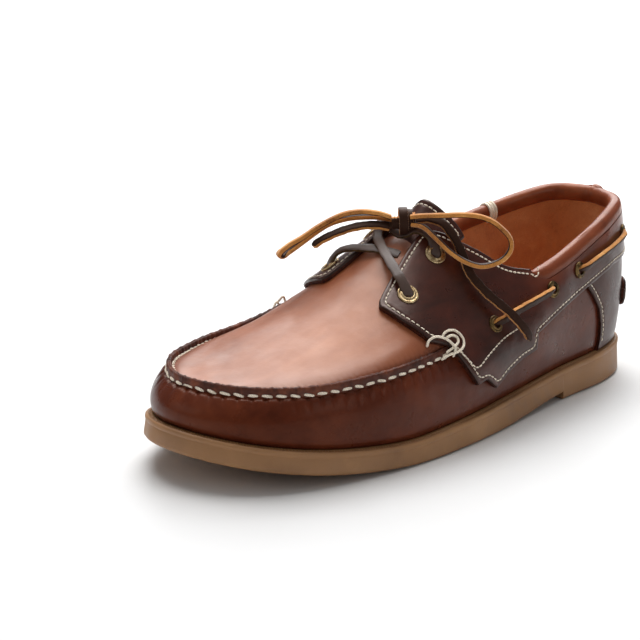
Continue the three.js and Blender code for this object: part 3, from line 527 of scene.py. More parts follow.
def settle(points, sheet, height=0.0):
    """Drop points on to a panel's top: the nearest grid point's own plane."""
    top, normal = sheet["top"].reshape(-1, 3), sheet["normal"].reshape(-1, 3)
    out, directions = [], []
    for q in points:
        k = np.argmin(((top - q) ** 2).sum(1))
        directions.append(normal[k])
        out.append(q - normal[k] * np.dot(q - top[k], normal[k]) + normal[k] * height)
    return np.array(out), np.array(directions)


def inward(edge, sheet, distance):
    """A line a given distance inside a panel's edge, on its top."""
    edge = resample(edge, 0.6)
    on, n = settle(edge, sheet)
    tangent = np.gradient(edge, axis=0)
    for _ in range(4):
        tangent[1:-1] = (tangent[:-2] + 2 * tangent[1:-1] + tangent[2:]) / 4
    side = unit(np.cross(n, unit(tangent)))
    centre = sheet["top"].reshape(-1, 3)
    probe = min(distance, 2.0)
    gain = [np.min(((centre - (on[len(on) // 2] + k * probe * side[len(on) // 2])) ** 2).sum(1))
            for k in (-1, 1)]
    side = side * (-1 if gain[0] < gain[1] else 1)
    moved = on + side * distance
    keep = nearest(moved, edge) > distance * 0.93
    moved = moved[keep]
    for _ in range(6):
        moved[1:-1] = (moved[:-2] + 2 * moved[1:-1] + moved[2:]) / 4
    return settle(moved, sheet)[0]


def capsules(name, stitches, material, around=7, along=8):
    """Sewn threads in one mesh. Each: centre, direction, normal, length, width, height."""
    a = np.linspace(0, PI, along + 1)[1:-1]
    ring = np.linspace(0, 2 * PI, around, endpoint=False)
    points, faces = [], []
    for centre, direction, normal, length, width, height in stitches:
        t = unit(np.asarray(direction, float))
        side = unit(np.cross(t, normal))
        up = np.cross(side, t)
        base = len(points)
        ends = [centre - t * length / 2 - up * height * 0.9, centre + t * length / 2 - up * height * 0.9]
        points.append(ends[0])
        for k in a:
            girth = math.sin(k) ** 0.45
            rise = height * (0.9 * math.sin(k) ** 0.6 - 0.75)
            middle = centre - t * (length / 2 * math.cos(k)) + up * rise
            for r in ring:
                points.append(middle + side * (width / 2 * girth * math.cos(r))
                              + up * (height * 0.5 * girth * math.sin(r)))
        points.append(ends[1])
        rings = len(a)
        for i in range(around):
            j = (i + 1) % around
            faces.append((base, base + 1 + j, base + 1 + i))
            for r in range(rings - 1):
                p = base + 1 + r * around
                faces.append((p + i, p + j, p + j + around, p + i + around))
            p = base + 1 + (rings - 1) * around
            faces.append((p + i, p + j, base + 1 + rings * around))
    return new_object(name, points, faces, [material], sharp=80)


def stitch_row(line, sheet=None, pitch=2.7, length=2.1, width=0.75, height=0.55, slant=0.0, up=None,
               seed=0):
    """Stitches along a line; each turned by slant about the surface's own direction."""
    line = resample(line, count=max(3, int(round(np.linalg.norm(np.diff(line, axis=0), axis=1).sum()
                                                   / pitch)) + 1))
    tangent = unit(np.gradient(line, axis=0))
    normals = settle(line, sheet)[1] if sheet is not None else np.asarray(up)
    if sheet is None and len(normals) != len(line):
        normals = resample(normals, count=len(line))
    out = []
    for k in range(len(line) - 1):
        c = (line[k] + line[k + 1]) / 2
        n = unit(normals[k] + normals[k + 1])
        t = unit(tangent[k] + tangent[k + 1])
        wobble = 0.05 * math.sin(12.9 * (k + seed)) + slant
        t = t * math.cos(wobble) + np.cross(n, t) * math.sin(wobble)
        out.append((c + n * height * 0.35, t, n, length * (1 + 0.05 * math.sin(7.1 * k)), width, height))
    return out


LACE_SECTION = [
    (-0.40, 0.5), (-0.2, 0.53), (0.2, 0.53), (0.40, 0.5), (0.5, 0.34), (0.515, 0), (0.5, -0.36),
    (0.38, -0.5), (0, -0.52), (-0.38, -0.5), (-0.5, -0.36), (-0.515, 0), (-0.5, 0.34)]


def ribbon(name, path, normals, materials, width=LACE_WIDTH, thick=LACE_THICK, closed=False,
           count=None, taper=None, wobble=0.05):
    """Flat rawhide lace along a path: grain side up the normals, cut edges and flesh side tan."""
    count = count or max(12, int(14 * len(path)))
    path = np.asarray(path, float)
    if closed:
        path = np.concatenate([path, path[:1]])
        normals = np.concatenate([normals, normals[:1]])
    line = spline(path, count)
    ups = spline(normals, count)
    tangent = np.gradient(line, axis=0)
    if closed:
        tangent[0] = tangent[-1] = line[1] - line[-2]
    tangent = unit(tangent)
    side = unit(np.cross(tangent, ups))
    up = np.cross(side, tangent)
    n = len(LACE_SECTION)
    k = np.arange(count)
    breadth = width * (1 + wobble * np.sin(k * 0.37) + 0.5 * wobble * np.sin(k * 0.83 + 1))
    if taper is not None:
        breadth = breadth * taper(np.linspace(0, 1, count))
    grid = np.stack([line + side * (a * breadth)[:, None] + up * b * thick for a, b in LACE_SECTION], 1)
    points = grid.reshape(-1, 3)
    faces = hoop_faces(count - 1 if closed else count, n, closed)
    slots = [0 if i < 4 or i == n - 1 else 1 for i in range(n)] * (count - 1)
    if closed:
        points = points[:(count - 1) * n]
    else:
        faces += end_faces(count, n)
        slots += [1, 1]
    obj = new_object(name, points, faces, materials, slots, sharp=50)
    tidy_mesh(obj, 1e-7)
    return obj, line


def tube(name, path, radius, material, sides=9, count=None, squash=1.0, normals=None):
    """Round thread along a path, with rounded ends."""
    line = spline(path, count or 8 * len(path))
    tangent = unit(np.gradient(line, axis=0))
    up = np.array([0, 0, 1.0]) if normals is None else spline(normals, len(line))
    side = unit(np.cross(tangent, np.broadcast_to(up, line.shape)))
    up = np.cross(side, tangent)
    t = np.linspace(0, 1, len(line))
    girth = np.clip(np.minimum(t, 1 - t) * np.linalg.norm(np.diff(line, axis=0), axis=1).sum() / radius, 0, 1)
    girth = np.maximum(0.15, np.sqrt(1 - (1 - girth) ** 2))
    ring = np.linspace(0, 2 * PI, sides, endpoint=False)
    grid = np.stack([line + (side * math.cos(r) + up * math.sin(r) * squash) * (radius * girth)[:, None]
                     for r in ring], 1)
    faces = hoop_faces(len(line), sides) + [end[::-1] for end in end_faces(len(line), sides)]
    obj = new_object(name, grid.reshape(-1, 3), faces, [material], sharp=70)
    return tidy_mesh(obj, 1e-8)


def joined(name, objects):
    """Join pieces into one named piece."""
    first = objects[0]
    with bpy.context.temp_override(active_object=first, selected_editable_objects=objects,
                                   object=first, selected_objects=objects):
        bpy.ops.object.join()
    first.name = name
    first.data.name = name
    return first


# ------------------------------------------------------------------ materials
class Nodes:
    """Short calls for a node tree."""

    def __init__(self, name):
        self.material = bpy.data.materials.new(name)
        self.material.use_nodes = True
        self.tree = self.material.node_tree
        self.shader = self.tree.nodes["Principled BSDF"]
        self.place = self.add("ShaderNodeTexCoord").outputs["Object"]

    def add(self, kind, **values):
        node = self.tree.nodes.new(kind)
        for key, value in values.items():
            setattr(node, key, value)
        return node

    def link(self, source, target):
        self.tree.links.new(source, target)

    def stretched(self, scale):
        node = self.add("ShaderNodeMapping")
        node.inputs["Scale"].default_value = scale
        self.link(self.place, node.inputs["Vector"])
        return node.outputs["Vector"]

    def noise(self, scale, detail=3.0, rough=0.5, distortion=0.0, vector=None):
        node = self.add("ShaderNodeTexNoise")
        node.inputs["Scale"].default_value = scale
        node.inputs["Detail"].default_value = detail
        node.inputs["Roughness"].default_value = rough
        node.inputs["Distortion"].default_value = distortion
        self.link(vector or self.place, node.inputs["Vector"])
        return node.outputs["Fac"]

    def cells(self, scale, feature="F1"):
        node = self.add("ShaderNodeTexVoronoi", feature=feature)
        node.inputs["Scale"].default_value = scale
        self.link(self.place, node.inputs["Vector"])
        return node.outputs["Distance"]

    def ramp(self, source, stops, smooth_steps=True):
        node = self.add("ShaderNodeValToRGB")
        node.color_ramp.interpolation = "EASE" if smooth_steps else "LINEAR"
        while len(node.color_ramp.elements) < len(stops):
            node.color_ramp.elements.new(0.5)
        for element, (at, colour) in zip(node.color_ramp.elements, stops):
            element.position = at
            value = colour if hasattr(colour, "__len__") else (colour,) * 3
            element.color = (*value, 1)
        self.link(source, node.inputs["Fac"])
        return node.outputs["Color"]

    def math(self, operation, a, b):
        node = self.add("ShaderNodeMath", operation=operation)
        for socket, value in zip(node.inputs, (a, b)):
            if hasattr(value, "links"):
                self.link(value, socket)
            else:
                socket.default_value = value
        return node.outputs[0]

    def mix(self, factor, a, b, kind="MIX"):
        node = self.add("ShaderNodeMix", data_type="RGBA", blend_type=kind)
        pairs = ((node.inputs[0], factor), (node.inputs[6], a), (node.inputs[7], b))
        for socket, value in pairs:
            if hasattr(value, "links"):
                self.link(value, socket)
            elif hasattr(value, "__len__"):
                socket.default_value = (*value, 1)
            else:
                socket.default_value = value
        return node.outputs[2]

    def attribute(self, name):
        return self.add("ShaderNodeAttribute", attribute_name=name).outputs["Fac"]

    def bump(self, height, strength, distance, after=None):
        node = self.add("ShaderNodeBump")
        node.inputs["Strength"].default_value = strength
        node.inputs["Distance"].default_value = distance
        self.link(height, node.inputs["Height"])
        if after is not None:
            self.link(after, node.inputs["Normal"])
        return node.outputs["Normal"]

    def set(self, **values):
        names = {"colour": "Base Color", "rough": "Roughness", "metal": "Metallic", "coat": "Coat Weight",
                 "coat_rough": "Coat Roughness", "normal": "Normal", "sheen": "Sheen Weight",
                 "specular": "Specular IOR Level", "glow": "Emission Strength",
                 "glow_colour": "Emission Color", "coat_normal": "Coat Normal", "tint": "Specular Tint"}
        for key, value in values.items():
            socket = self.shader.inputs[names[key]]
            if hasattr(value, "links"):
                self.link(value, socket)
            elif hasattr(value, "__len__"):
                socket.default_value = (*value, 1)
            else:
                socket.default_value = value


def rgb(red, green, blue):
    """Screen colour 0 to 255, as the linear numbers that a shader takes."""
    return tuple((c / 255 / 12.92) if c / 255 <= 0.04045 else ((c / 255 + 0.055) / 1.055) ** 2.4
                 for c in (red, green, blue))


def leather(name, dark, middle, light, edge, rough=(0.30, 0.46), coat=0.25, coat_rough=0.22,
            cloud=26.0, grain=0.16, shade=None, specular=0.5, tint=(1, 1, 1)):
    """Waxed pull-up leather: cloudy colour, fine pores, darker burnished edges."""
    m = Nodes(name)
    clouds = m.ramp(m.noise(cloud, 4, 0.55, 0.4), [(0.32, dark), (0.5, middle), (0.70, light)])
    streaks = m.noise(160, 5, 0.6, 0.2, m.stretched((1, 0.25, 1)))
    colour = m.mix(0.22, clouds, m.ramp(streaks, [(0.3, dark), (0.7, light)]))
    if shade is not None:
        colour = shade(m, colour)
    near = m.ramp(m.math("MULTIPLY", m.attribute("edge"), 0.25), [(0.0, 1.0), (0.5, 0.0)])
    colour = m.mix(near, colour, edge)
    pores = m.cells(2100)
    fine = m.noise(1500, 4, 0.6)
    soft = m.noise(210, 3, 0.5)
    flow = m.bump(soft, 0.20, 0.0006)
    grains = m.bump(m.math("ADD", m.math("MULTIPLY", pores, 0.8), fine), grain, 0.00018, flow)
    roughness = m.ramp(m.noise(70, 4, 0.6), [(0.3, rough[0]), (0.7, rough[1])])
    m.set(colour=colour, rough=roughness, coat=coat, coat_rough=coat_rough, normal=grains, coat_normal=flow,
          specular=specular, tint=tint)
    return m.material


def raw_edge(name, dark, light):
    """Cut edge of leather: fibres in short irregular bands."""
    m = Nodes(name)
    fibres = m.noise(900, 5, 0.65, 0.5)
    colour = m.ramp(fibres, [(0.3, dark), (0.7, light)])
    m.set(colour=colour, rough=0.8, specular=0.15, normal=m.bump(fibres, 0.5, 0.0003))
    return m.material


def suede(name, dark, middle, light, scale=420.0):
    """Flesh side: short matted fibres."""
    m = Nodes(name)
    clouds = m.noise(45, 4, 0.6, 0.3)
    fibres = m.noise(scale * 3, 5, 0.7, 1.2)
    mixed = m.math("ADD", m.math("MULTIPLY", clouds, 0.6), m.math("MULTIPLY", fibres, 0.4))
    colour = m.ramp(mixed, [(0.34, dark), (0.5, middle), (0.66, light)])
    m.set(colour=colour, rough=0.88, sheen=0.25, normal=m.bump(fibres, 0.55, 0.0004))
    return m.material


def thread(name, colour, soil_and_groove_shade):
    """Waxed sewing thread: plies twisted round each other, with painted shade in the grooves between them and
    patches of soil.
    """
    m = Nodes(name)
    twist = m.add("ShaderNodeTexWave", wave_type="BANDS", bands_direction="DIAGONAL")
    twist.inputs["Scale"].default_value = 420
    twist.inputs["Distortion"].default_value = 2.0
    m.link(m.place, twist.inputs["Vector"])
    ply = twist.outputs["Fac"]
    soil = m.noise(300, 3, 0.6)
    tinted = m.mix(m.ramp(soil, [(0.48, 0.0), (0.8, 0.5)]), colour, soil_and_groove_shade)
    # painted shade: the darker colour is mixed in along the grooves between the plies
    m.set(colour=m.mix(m.ramp(ply, [(0.0, 0.35), (0.5, 0.0)]), tinted, soil_and_groove_shade), rough=0.62,
          normal=m.bump(ply, 0.35, 0.00015))
    return m.material


def gum(name):
    """Gum rubber: faintly mottled, matte, with tiny moulding marks."""
    m = Nodes(name)
    clouds = m.ramp(m.noise(30, 4, 0.6), [(0.3, rgb(136, 96, 60)), (0.55, rgb(156, 113, 73)),
                                          (0.75, rgb(170, 126, 84))])
    specks = m.ramp(m.noise(1400, 3, 0.7), [(0.60, 0.0), (0.78, 0.5)])
    colour = m.mix(specks, clouds, rgb(112, 80, 48))
    fine = m.noise(900, 4, 0.6)
    m.set(colour=colour, rough=m.ramp(m.noise(120, 3, 0.5), [(0.3, 0.42), (0.7, 0.58)]), specular=0.45,
          normal=m.bump(fine, 0.16, 0.00025))
    return m.material


def brass(name, base, dark, rough):
    """Antique brass: darkened in patches, worn bright, with fine scratches."""
    m = Nodes(name)
    patina = m.ramp(m.noise(420, 5, 0.65, 0.6), [(0.36, dark), (0.62, base)])
    scratches = m.noise(1800, 4, 0.7, 0, m.stretched((1, 6, 1)))
    m.set(colour=patina, metal=1.0, rough=m.ramp(m.noise(600, 4, 0.6), [(0.3, rough[0]), (0.7, rough[1])]),
          normal=m.bump(scratches, 0.22, 0.0001))
    return m.material


def vamp_shade(m, colour):
    """Darker leather low on the wall, fading out about 40 mm above the floor."""
    split = m.add("ShaderNodeSeparateXYZ")
    m.link(m.place, split.inputs[0])
    low = m.ramp(m.math("MULTIPLY", split.outputs["Z"], 20.0), [(0.42, 1.0), (0.80, 0.0)])
    return m.mix(m.math("MULTIPLY", low, 0.35), colour, rgb(66, 25, 13))


def apron_painted_seam_shade(m, colour):
    """Painted shade: the colour deepens towards the seam and fades out towards the middle of the apron."""
    # painted shade: dark brown mixed in near the seam, less further from it
    rim = m.ramp(m.math("MULTIPLY", m.attribute("edge"), 0.045), [(0.05, 0.62), (0.8, 0.0)])
    return m.mix(rim, colour, rgb(104, 48, 27))


def collar_glow(m, colour):
    """The band grows lighter and redder towards the rolled collar."""
    glow = m.mix(m.ramp(m.noise(40, 3), [(0.35, 0.0), (0.65, 1.0)]), rgb(84, 36, 22), rgb(112, 52, 31))
    return m.mix(m.attribute("blend"), colour, glow)


WARM = (0.62, 0.36, 0.26)
VAMP = leather("vamp_leather_waxed", rgb(58, 22, 13), rgb(84, 35, 20), rgb(110, 52, 30), rgb(40, 16, 9),
               rough=(0.26, 0.38), coat=0.06, coat_rough=0.12, shade=vamp_shade, specular=0.34,
               tint=(0.54, 0.30, 0.20))
# Apron leather, with painted shade deepening its colour towards the seam.
APRON = leather("apron_leather_waxed", rgb(124, 66, 40), rgb(148, 84, 53), rgb(166, 100, 66),
                rgb(84, 38, 22), rough=(0.34, 0.48), coat=0.16, coat_rough=0.26, cloud=18,
                tint=(0.98, 0.74, 0.60), shade=apron_painted_seam_shade)
SADDLE = leather("saddle_leather_waxed", rgb(36, 13, 9), rgb(56, 22, 15), rgb(96, 40, 25),
                 rgb(34, 12, 8), rough=(0.26, 0.38), coat=0.15, coat_rough=0.16, cloud=24, specular=0.5,
                 tint=(0.80, 0.62, 0.54),
                 shade=collar_glow)
ROLL = leather("collar_leather_waxed", rgb(88, 38, 22), rgb(122, 58, 33), rgb(148, 78, 46),
               rgb(92, 42, 26), rough=(0.30, 0.42), coat=0.12, coat_rough=0.2, cloud=30, specular=0.4,
               tint=(0.95, 0.62, 0.46), shade=collar_glow)
COUNTER = leather("counter_leather_waxed", rgb(34, 13, 9), rgb(52, 21, 14), rgb(84, 36, 23),
                  rgb(34, 12, 8), rough=(0.26, 0.38), coat=0.05, coat_rough=0.14, cloud=24,
                  specular=0.32, tint=WARM)
RIDGE_SKIN = leather("seam_leather_burnished", rgb(44, 19, 12), rgb(76, 35, 22), rgb(124, 66, 42),
                     rgb(60, 28, 18), rough=(0.45, 0.65), coat=0.03, cloud=120, grain=0.5, specular=0.25)
LINING = suede("lining_leather", rgb(176, 106, 58), rgb(206, 134, 80), rgb(224, 158, 104))
INSOLE = suede("footbed_leather", rgb(168, 108, 62), rgb(190, 128, 78), rgb(206, 146, 94), 300)
RAW = raw_edge("panel_cut_edge", rgb(30, 13, 9), rgb(84, 38, 22))
HIDDEN = suede("panel_flesh_side", rgb(96, 56, 34), rgb(122, 74, 46), rgb(140, 90, 58))
LACE_GRAIN = leather("lace_grain_side", rgb(30, 17, 12), rgb(46, 29, 22), rgb(70, 48, 38), rgb(46, 29, 22),
                     rough=(0.40, 0.55), coat=0.02, coat_rough=0.3, cloud=60, grain=0.3, specular=0.25,
                     tint=WARM)
# Lighter, greyer copy of the lace leather for the crossing laces on top: painted sheen where they face up.
LACE_PAINTED_SHEEN = leather("lace_grain_painted_sheen", rgb(56, 42, 37), rgb(80, 62, 55), rgb(104, 84, 76), rgb(76, 58, 50),
                     rough=(0.36, 0.5), coat=0.06, coat_rough=0.3, cloud=60, grain=0.3, specular=0.4)
LACE_SIDE = raw_edge("lace_cut_edge_dark", rgb(34, 24, 14), rgb(92, 66, 36))
LACE_FLESH = suede("lace_flesh_side", rgb(140, 82, 30), rgb(204, 136, 62), rgb(232, 172, 98), 520)
# second colour: soil patches, and painted shade between the plies
THREAD = thread("cream_thread", rgb(244, 232, 212), rgb(176, 150, 122))
GUM = gum("gum_rubber_moulded")
BRASS = brass("antique_brass_worn", rgb(208, 184, 142), rgb(134, 110, 78), (0.24, 0.4))
BRONZE = brass("antique_brass_dark", rgb(128, 104, 66), rgb(60, 46, 30), (0.32, 0.5))

# ------------------------------------------------------------------ camera
CAMERA_AT = (583.3 - MIDDLE_X, -637.1, 301.0)
YAW, PITCH, ROLL_ANGLE = 0.79006, 0.28767, 0.01853
LENS = 104.82
_fwd = Vector((-math.sin(YAW) * math.cos(PITCH), math.cos(YAW) * math.cos(PITCH), -math.sin(PITCH)))
_right = Vector((math.cos(YAW), math.sin(YAW), 0))
_up = _right.cross(_fwd)
_r = _right * math.cos(ROLL_ANGLE) + _up * math.sin(ROLL_ANGLE)
_u = _up * math.cos(ROLL_ANGLE) - _right * math.sin(ROLL_ANGLE)
camera_data = bpy.data.cameras.new("camera")
camera_data.lens, camera_data.sensor_width = LENS, 36
camera_data.clip_start, camera_data.clip_end = 0.05, 20
camera = bpy.data.objects.new("camera", camera_data)
bpy.context.scene.collection.objects.link(camera)
camera.matrix_world = Matrix((
    (_r.x, _u.x, -_fwd.x, CAMERA_AT[0] * MM), (_r.y, _u.y, -_fwd.y, CAMERA_AT[1] * MM),
    (_r.z, _u.z, -_fwd.z, CAMERA_AT[2] * MM), (0, 0, 0, 1)))
bpy.context.scene.camera = camera


# ------------------------------------------------------------------ cords: the bow
def path_of(points):
    p = np.array(points, float)
    return row(p[:, 0], p[:, 1], p[:, 2])


def steady(count, *directions):
    return resample(unit(np.array(directions, float)), count=count) if len(directions) > 1 \
        else np.repeat(unit(np.array(directions, float)), count, 0)


def tip(t):
    """The cut end of the lace narrows to a slanted tip."""
    return 1 - 0.55 * smooth((t - 0.95) / 0.05)


def even(t):
    return np.ones_like(t)


def inwards(path, facing):
    """Grain side towards the middle of a loop that stands square to a direction."""
    across = unit(np.array(facing, float))
    tangent = unit(np.gradient(path, axis=0))
    way = np.cross(across, tangent)
    return unit(way * np.sign(np.sum(way * (path.mean(0) - path), 1).mean()))


FACING_MEDIAL, FACING_LATERAL = (0.74, -0.64, 0.12), (0.66, -0.73, 0.12)
BOW_WIDTH, BOW_THICK = 4.6, 2.3
END_WIDTH, END_THICK = 4.1, 2.2
BOW = [
    ("bow_loop_medial", LOOP_MEDIAL, [FACING_MEDIAL], "knot", even),
    ("bow_loop_lateral", LOOP_LATERAL, [FACING_LATERAL], "knot", even),
    ("lace_end_lateral", END_LATERAL,
     [(0.3, -0.6, 0.74), (0.6, -0.5, 0.6), (0.8, -0.4, 0.45), (0.86, -0.3, 0.4), (0.97, -0.2, 0.1)],
     "bare", tip),
    ("lace_end_medial", END_MEDIAL, [(0.2, -0.62, 0.76), (0.1, -0.5, 0.85)], "bare", tip)]


def knot():
    """The bow's middle: one wrap of lace over a folded core."""
    centre = path_of([KNOT])[0]
    run = unit(np.array([0.72, 0.66, 0.08]))
    out = unit(np.cross(run, (0, 0, 1.0)))
    up = np.cross(out, run)
    pieces = []
    turns = [(0.0, 5.8, 5.2, 0.4, 4.2), (2.2, 4.8, 4.4, 0.9, 3.4)]
    for shift, tall, deep, lean, width in turns:
        angles = np.linspace(0, 2 * PI, 16, endpoint=False)
        ring = [centre + run * (shift + lean * math.sin(a)) + up * tall * math.cos(a)
                + out * deep * math.sin(a) for a in angles]
        ways = [unit(up * math.cos(a) / tall + out * math.sin(a) / deep) for a in angles]
        pieces.append(ribbon("wrap", ring, np.array(ways), [LACE_GRAIN, LACE_FLESH], width, 1.7,
                             closed=True, count=65, wobble=0.02)[0])
    for side in (-1, 1):
        core = [centre + run * side * k + up * (0.9 * side) + out * (0.6 * side)
                for k in (0.5, 2.2, 4.0, 5.6)]
        pieces.append(ribbon("core", core, np.repeat([out], 4, 0), [LACE_GRAIN, LACE_FLESH], 5.4, 4.6)[0])
    return finish_piece(joined("knot", pieces), ["bow_knot"])


knot_piece = knot()
for name, points, facing, far_end, narrow in BOW:
    path = path_of(points)
    loop = far_end == "knot"
    ways = inwards(path, facing[0]) if loop else steady(len(path), *facing)
    wide, thick = (BOW_WIDTH, BOW_THICK) if loop else (END_WIDTH, END_THICK)
    obj, line = ribbon(name + "_lace", path, ways, [LACE_GRAIN, LACE_FLESH], wide, thick, taper=narrow)
    finish_piece(obj, [name])
    centre = resample(line, 2.0) * MM

# ------------------------------------------------------------------ upper: vamp, apron, quarters
SEAM_PITCH = 6.2


def ridge_share(side, s):
    return np.clip(hermite(RIDGE["s"], RIDGE[side], s), 0, 1)


def seam_line():
    """Shoulder line round the toe from the outer to the inner side, with its arc length."""
    theta = np.concatenate([np.linspace(phi_of(160.0), PI, 600), np.linspace(-PI, -phi_of(172.0), 600)[1:]])
    p, _ = surface(theta, np.ones_like(theta))
    at = np.concatenate([[0], np.cumsum(np.linalg.norm(np.diff(p, axis=0), axis=1))])
    return theta, at


SEAM_THETA, SEAM_AT = seam_line()


def seam_arc(theta):
    """Arc length along the seam for any column."""
    key = np.where(SEAM_THETA < 0, SEAM_THETA + 2 * PI, SEAM_THETA)
    at = np.where(theta < 0, theta + 2 * PI, theta)
    return np.interp(at, key, SEAM_AT)


def puckers(theta, below, s):
    """Creases that the seam's stitches pull into the wall, below each stitch."""
    arc = seam_arc(theta)
    share = np.where(theta >= 0, ridge_share("lat", s), ridge_share("med", s))
    wave = 0.5 + 0.5 * np.cos(2 * PI * arc / SEAM_PITCH + 0.35 * np.sin(arc / 17.0))
    fade = np.exp(-(below / 5.0) ** 2) * smooth(below / 0.8)
    tuck = -0.85 * np.exp(-((below - 0.6) / 1.5) ** 2)
    drift = 0.25 * np.sin(arc / 13.0) * np.exp(-(below / 9.0) ** 2)
    return share * (-0.75 * wave ** 3 * fade + tuck + drift)


# Soft troughs and ridges: side, s, z, length, width, lean in degrees from upright, depth.
CREASES = [
    ("lat", 200, 30, 26, 5.0, 62, -0.35), ("lat", 186, 34, 20, 4.0, 40, -0.30),
    ("lat", 158, 24, 16, 4.5, 75, 0.30), ("lat", 226, 26, 24, 6.0, 70, 0.22),
    ("lat", 72, 34, 30, 7.0, 80, -0.35), ("lat", 98, 30, 26, 6.0, 66, 0.30),
    ("med", 202, 32, 26, 5.0, 58, -0.35), ("med", 182, 36, 24, 4.5, 40, 0.3),
    ("med", 120, 34, 34, 7.0, 78, -0.35), ("med", 78, 40, 26, 6.0, 66, 0.3)]
FLAP_CREASES = [
    ("lat", 146, 60, 22, 4.5, -38, -0.30), ("lat", 120, 52, 20, 4.0, 10, -0.35),
    ("lat", 100, 52, 18, 4.0, 18, 0.28), ("lat", 70, 60, 18, 5.0, 8, -0.28),
    ("lat", 36, 70, 20, 5.0, 4, 0.25), ("med", 146, 72, 22, 4.5, -36, -0.3),
    ("med", 112, 58, 22, 5.0, 12, -0.32), ("med", 64, 64, 20, 5.0, 8, 0.26)]


def creased(rows, side_of):
    def dents(x, s, z):
        out = np.zeros_like(s)
        for side, cs, cz, length, width, lean, depth in rows:
            mask = (x > 0.8) == (side == "lat") if side_of is None else side == side_of
            a = math.radians(lean)
            along = (z - cz) * math.cos(a) + (s - cs) * math.sin(a)
            across = (s - cs) * math.cos(a) - (z - cz) * math.sin(a)
            bend = across - 0.012 * along * along
            out = out + mask * depth * np.exp(-(bend / width) ** 2) * np.exp(-(along / (length / 2)) ** 4)
        return out
    return dents


def collar_share(s):
    """The roll is full behind the throat and tapers away in front of it."""
    return smooth((104 - s) / 15)


def top_test(side, drop, margin):
    """Positive past the collar's or the throat's edge on one side."""
    def test(x, s, z):
        fall = drop * collar_share(s)
        collar = z - (hermite(COLLAR["s"], COLLAR[side], s) - fall)
        edge = hermite(THROAT["s"], THROAT[side], s)
        throat = (edge + margin) - x if side == "lat" else x - (edge - margin)
        throat = np.where(z < section(side + "Z", s) - 12, -1.0, throat)
        return np.where(s < 100, collar, throat)
    return test


def upper_top(theta, drop, margin):
    """u of the upper's cut edge for columns of either side."""
    u = np.where(theta >= 0, crossing(theta, top_test("lat", drop, margin)),
                 crossing(theta, top_test("med", drop, margin)))
    s = s_of(np.abs(theta))
    return np.where(s < 168, 1 + (u - 1) * np.where(s < 160, 1, smooth((168 - s) / 8)), 1.0)


def make_upper():
    """Wall and quarters in one closed shell, feather edge to collar, throat and seam."""
    s_lat = np.concatenate([np.linspace(0.70, 150, 210)[1:], np.linspace(150, 284, 330)[1:]])
    th_lat = phi_of(s_lat)
    th_tip = np.linspace(th_lat[-1], PI, 60)[1:-1]
    half = np.concatenate([th_lat, th_tip])
    theta = np.concatenate([[0.0], half, [PI], -half[::-1]])
    high = upper_top(theta, COLLAR_DROP - 1.0, 3.5)
    rows = 52
    share = np.linspace(0, 1, rows)
    share = 1 - (1 - share) ** 1.35
    u = share[None, :] * high[:, None]
    th = np.repeat(theta[:, None], rows, 1)
    p, n = surface(th, u)
    edge = p[:, -1]
    below = np.linalg.norm(p - edge[:, None], axis=-1)
    bend = puckers(th, below, s_of(np.abs(th))) + creased(CREASES, None)(*own(p))
    settle_in = -0.5 * np.exp(-(np.linalg.norm(p - p[:, :1], axis=-1) / 1.6) ** 2)
    outer = p + n * (bend + settle_in)[..., None]
    inner = p - n * UPPER_WALL
    obj = slab("upper_shell", outer, inner, [VAMP, RAW, LINING], wrap=True)
    store(obj, "edge", np.concatenate([np.full(below.size, 9.0), np.full(below.size, 9.0)]))
    tidy_mesh(obj)
    return finish_piece(obj, ["upper"])


def make_apron():
    """Top of the forefoot, from the seam back to under the laces, in one closed sheet."""
    back = 152.0
    half = np.concatenate([phi_of(np.linspace(back, 286, 230)), np.linspace(phi_of(286.0), PI, 46)[1:-1]])
    theta = np.concatenate([half, -half[::-1]])
    s = s_of(np.abs(theta))
    side_share = np.where(theta >= 0, ridge_share("lat", s), ridge_share("med", s))
    fine = np.linspace(0, 1, 60)
    u = np.ones((len(theta), 1)) + fine[None, :]
    th = np.repeat(theta[:, None], len(fine), 1)
    p, n = surface(th, u)
    from_edge = np.linalg.norm(p - p[:, :1], axis=-1)
    arc = seam_arc(th)
    wave = 0.5 + 0.5 * np.cos(2 * PI * arc / (SEAM_PITCH / 2))
    d = from_edge - 2.8
    share = side_share[:, None]
    pull = 0.35 * wave ** 2 * np.exp(-(np.maximum(d, 0) / 3.2) ** 2)
    dip = share * (-0.55 * np.exp(-((d - 0.4) / 1.3) ** 2) - pull)
    swell = 0.5 * share * np.exp(-((d - 7) / 5) ** 2)
    sink = -2.6 * smooth((166 - s) / 12)[:, None]
    top = p + n * (dip + swell + sink)[..., None]
    bottom = p - n * 1.7 + n * sink[..., None]
    obj = slab("apron", top, bottom, [APRON, RAW, HIDDEN])
    store(obj, "edge", np.concatenate([np.maximum(d, 0).ravel() + 1.0, np.full(d.size, 9.0)]))
    tidy_mesh(obj, 4e-6)
    return finish_piece(obj)


make_upper()
make_apron()


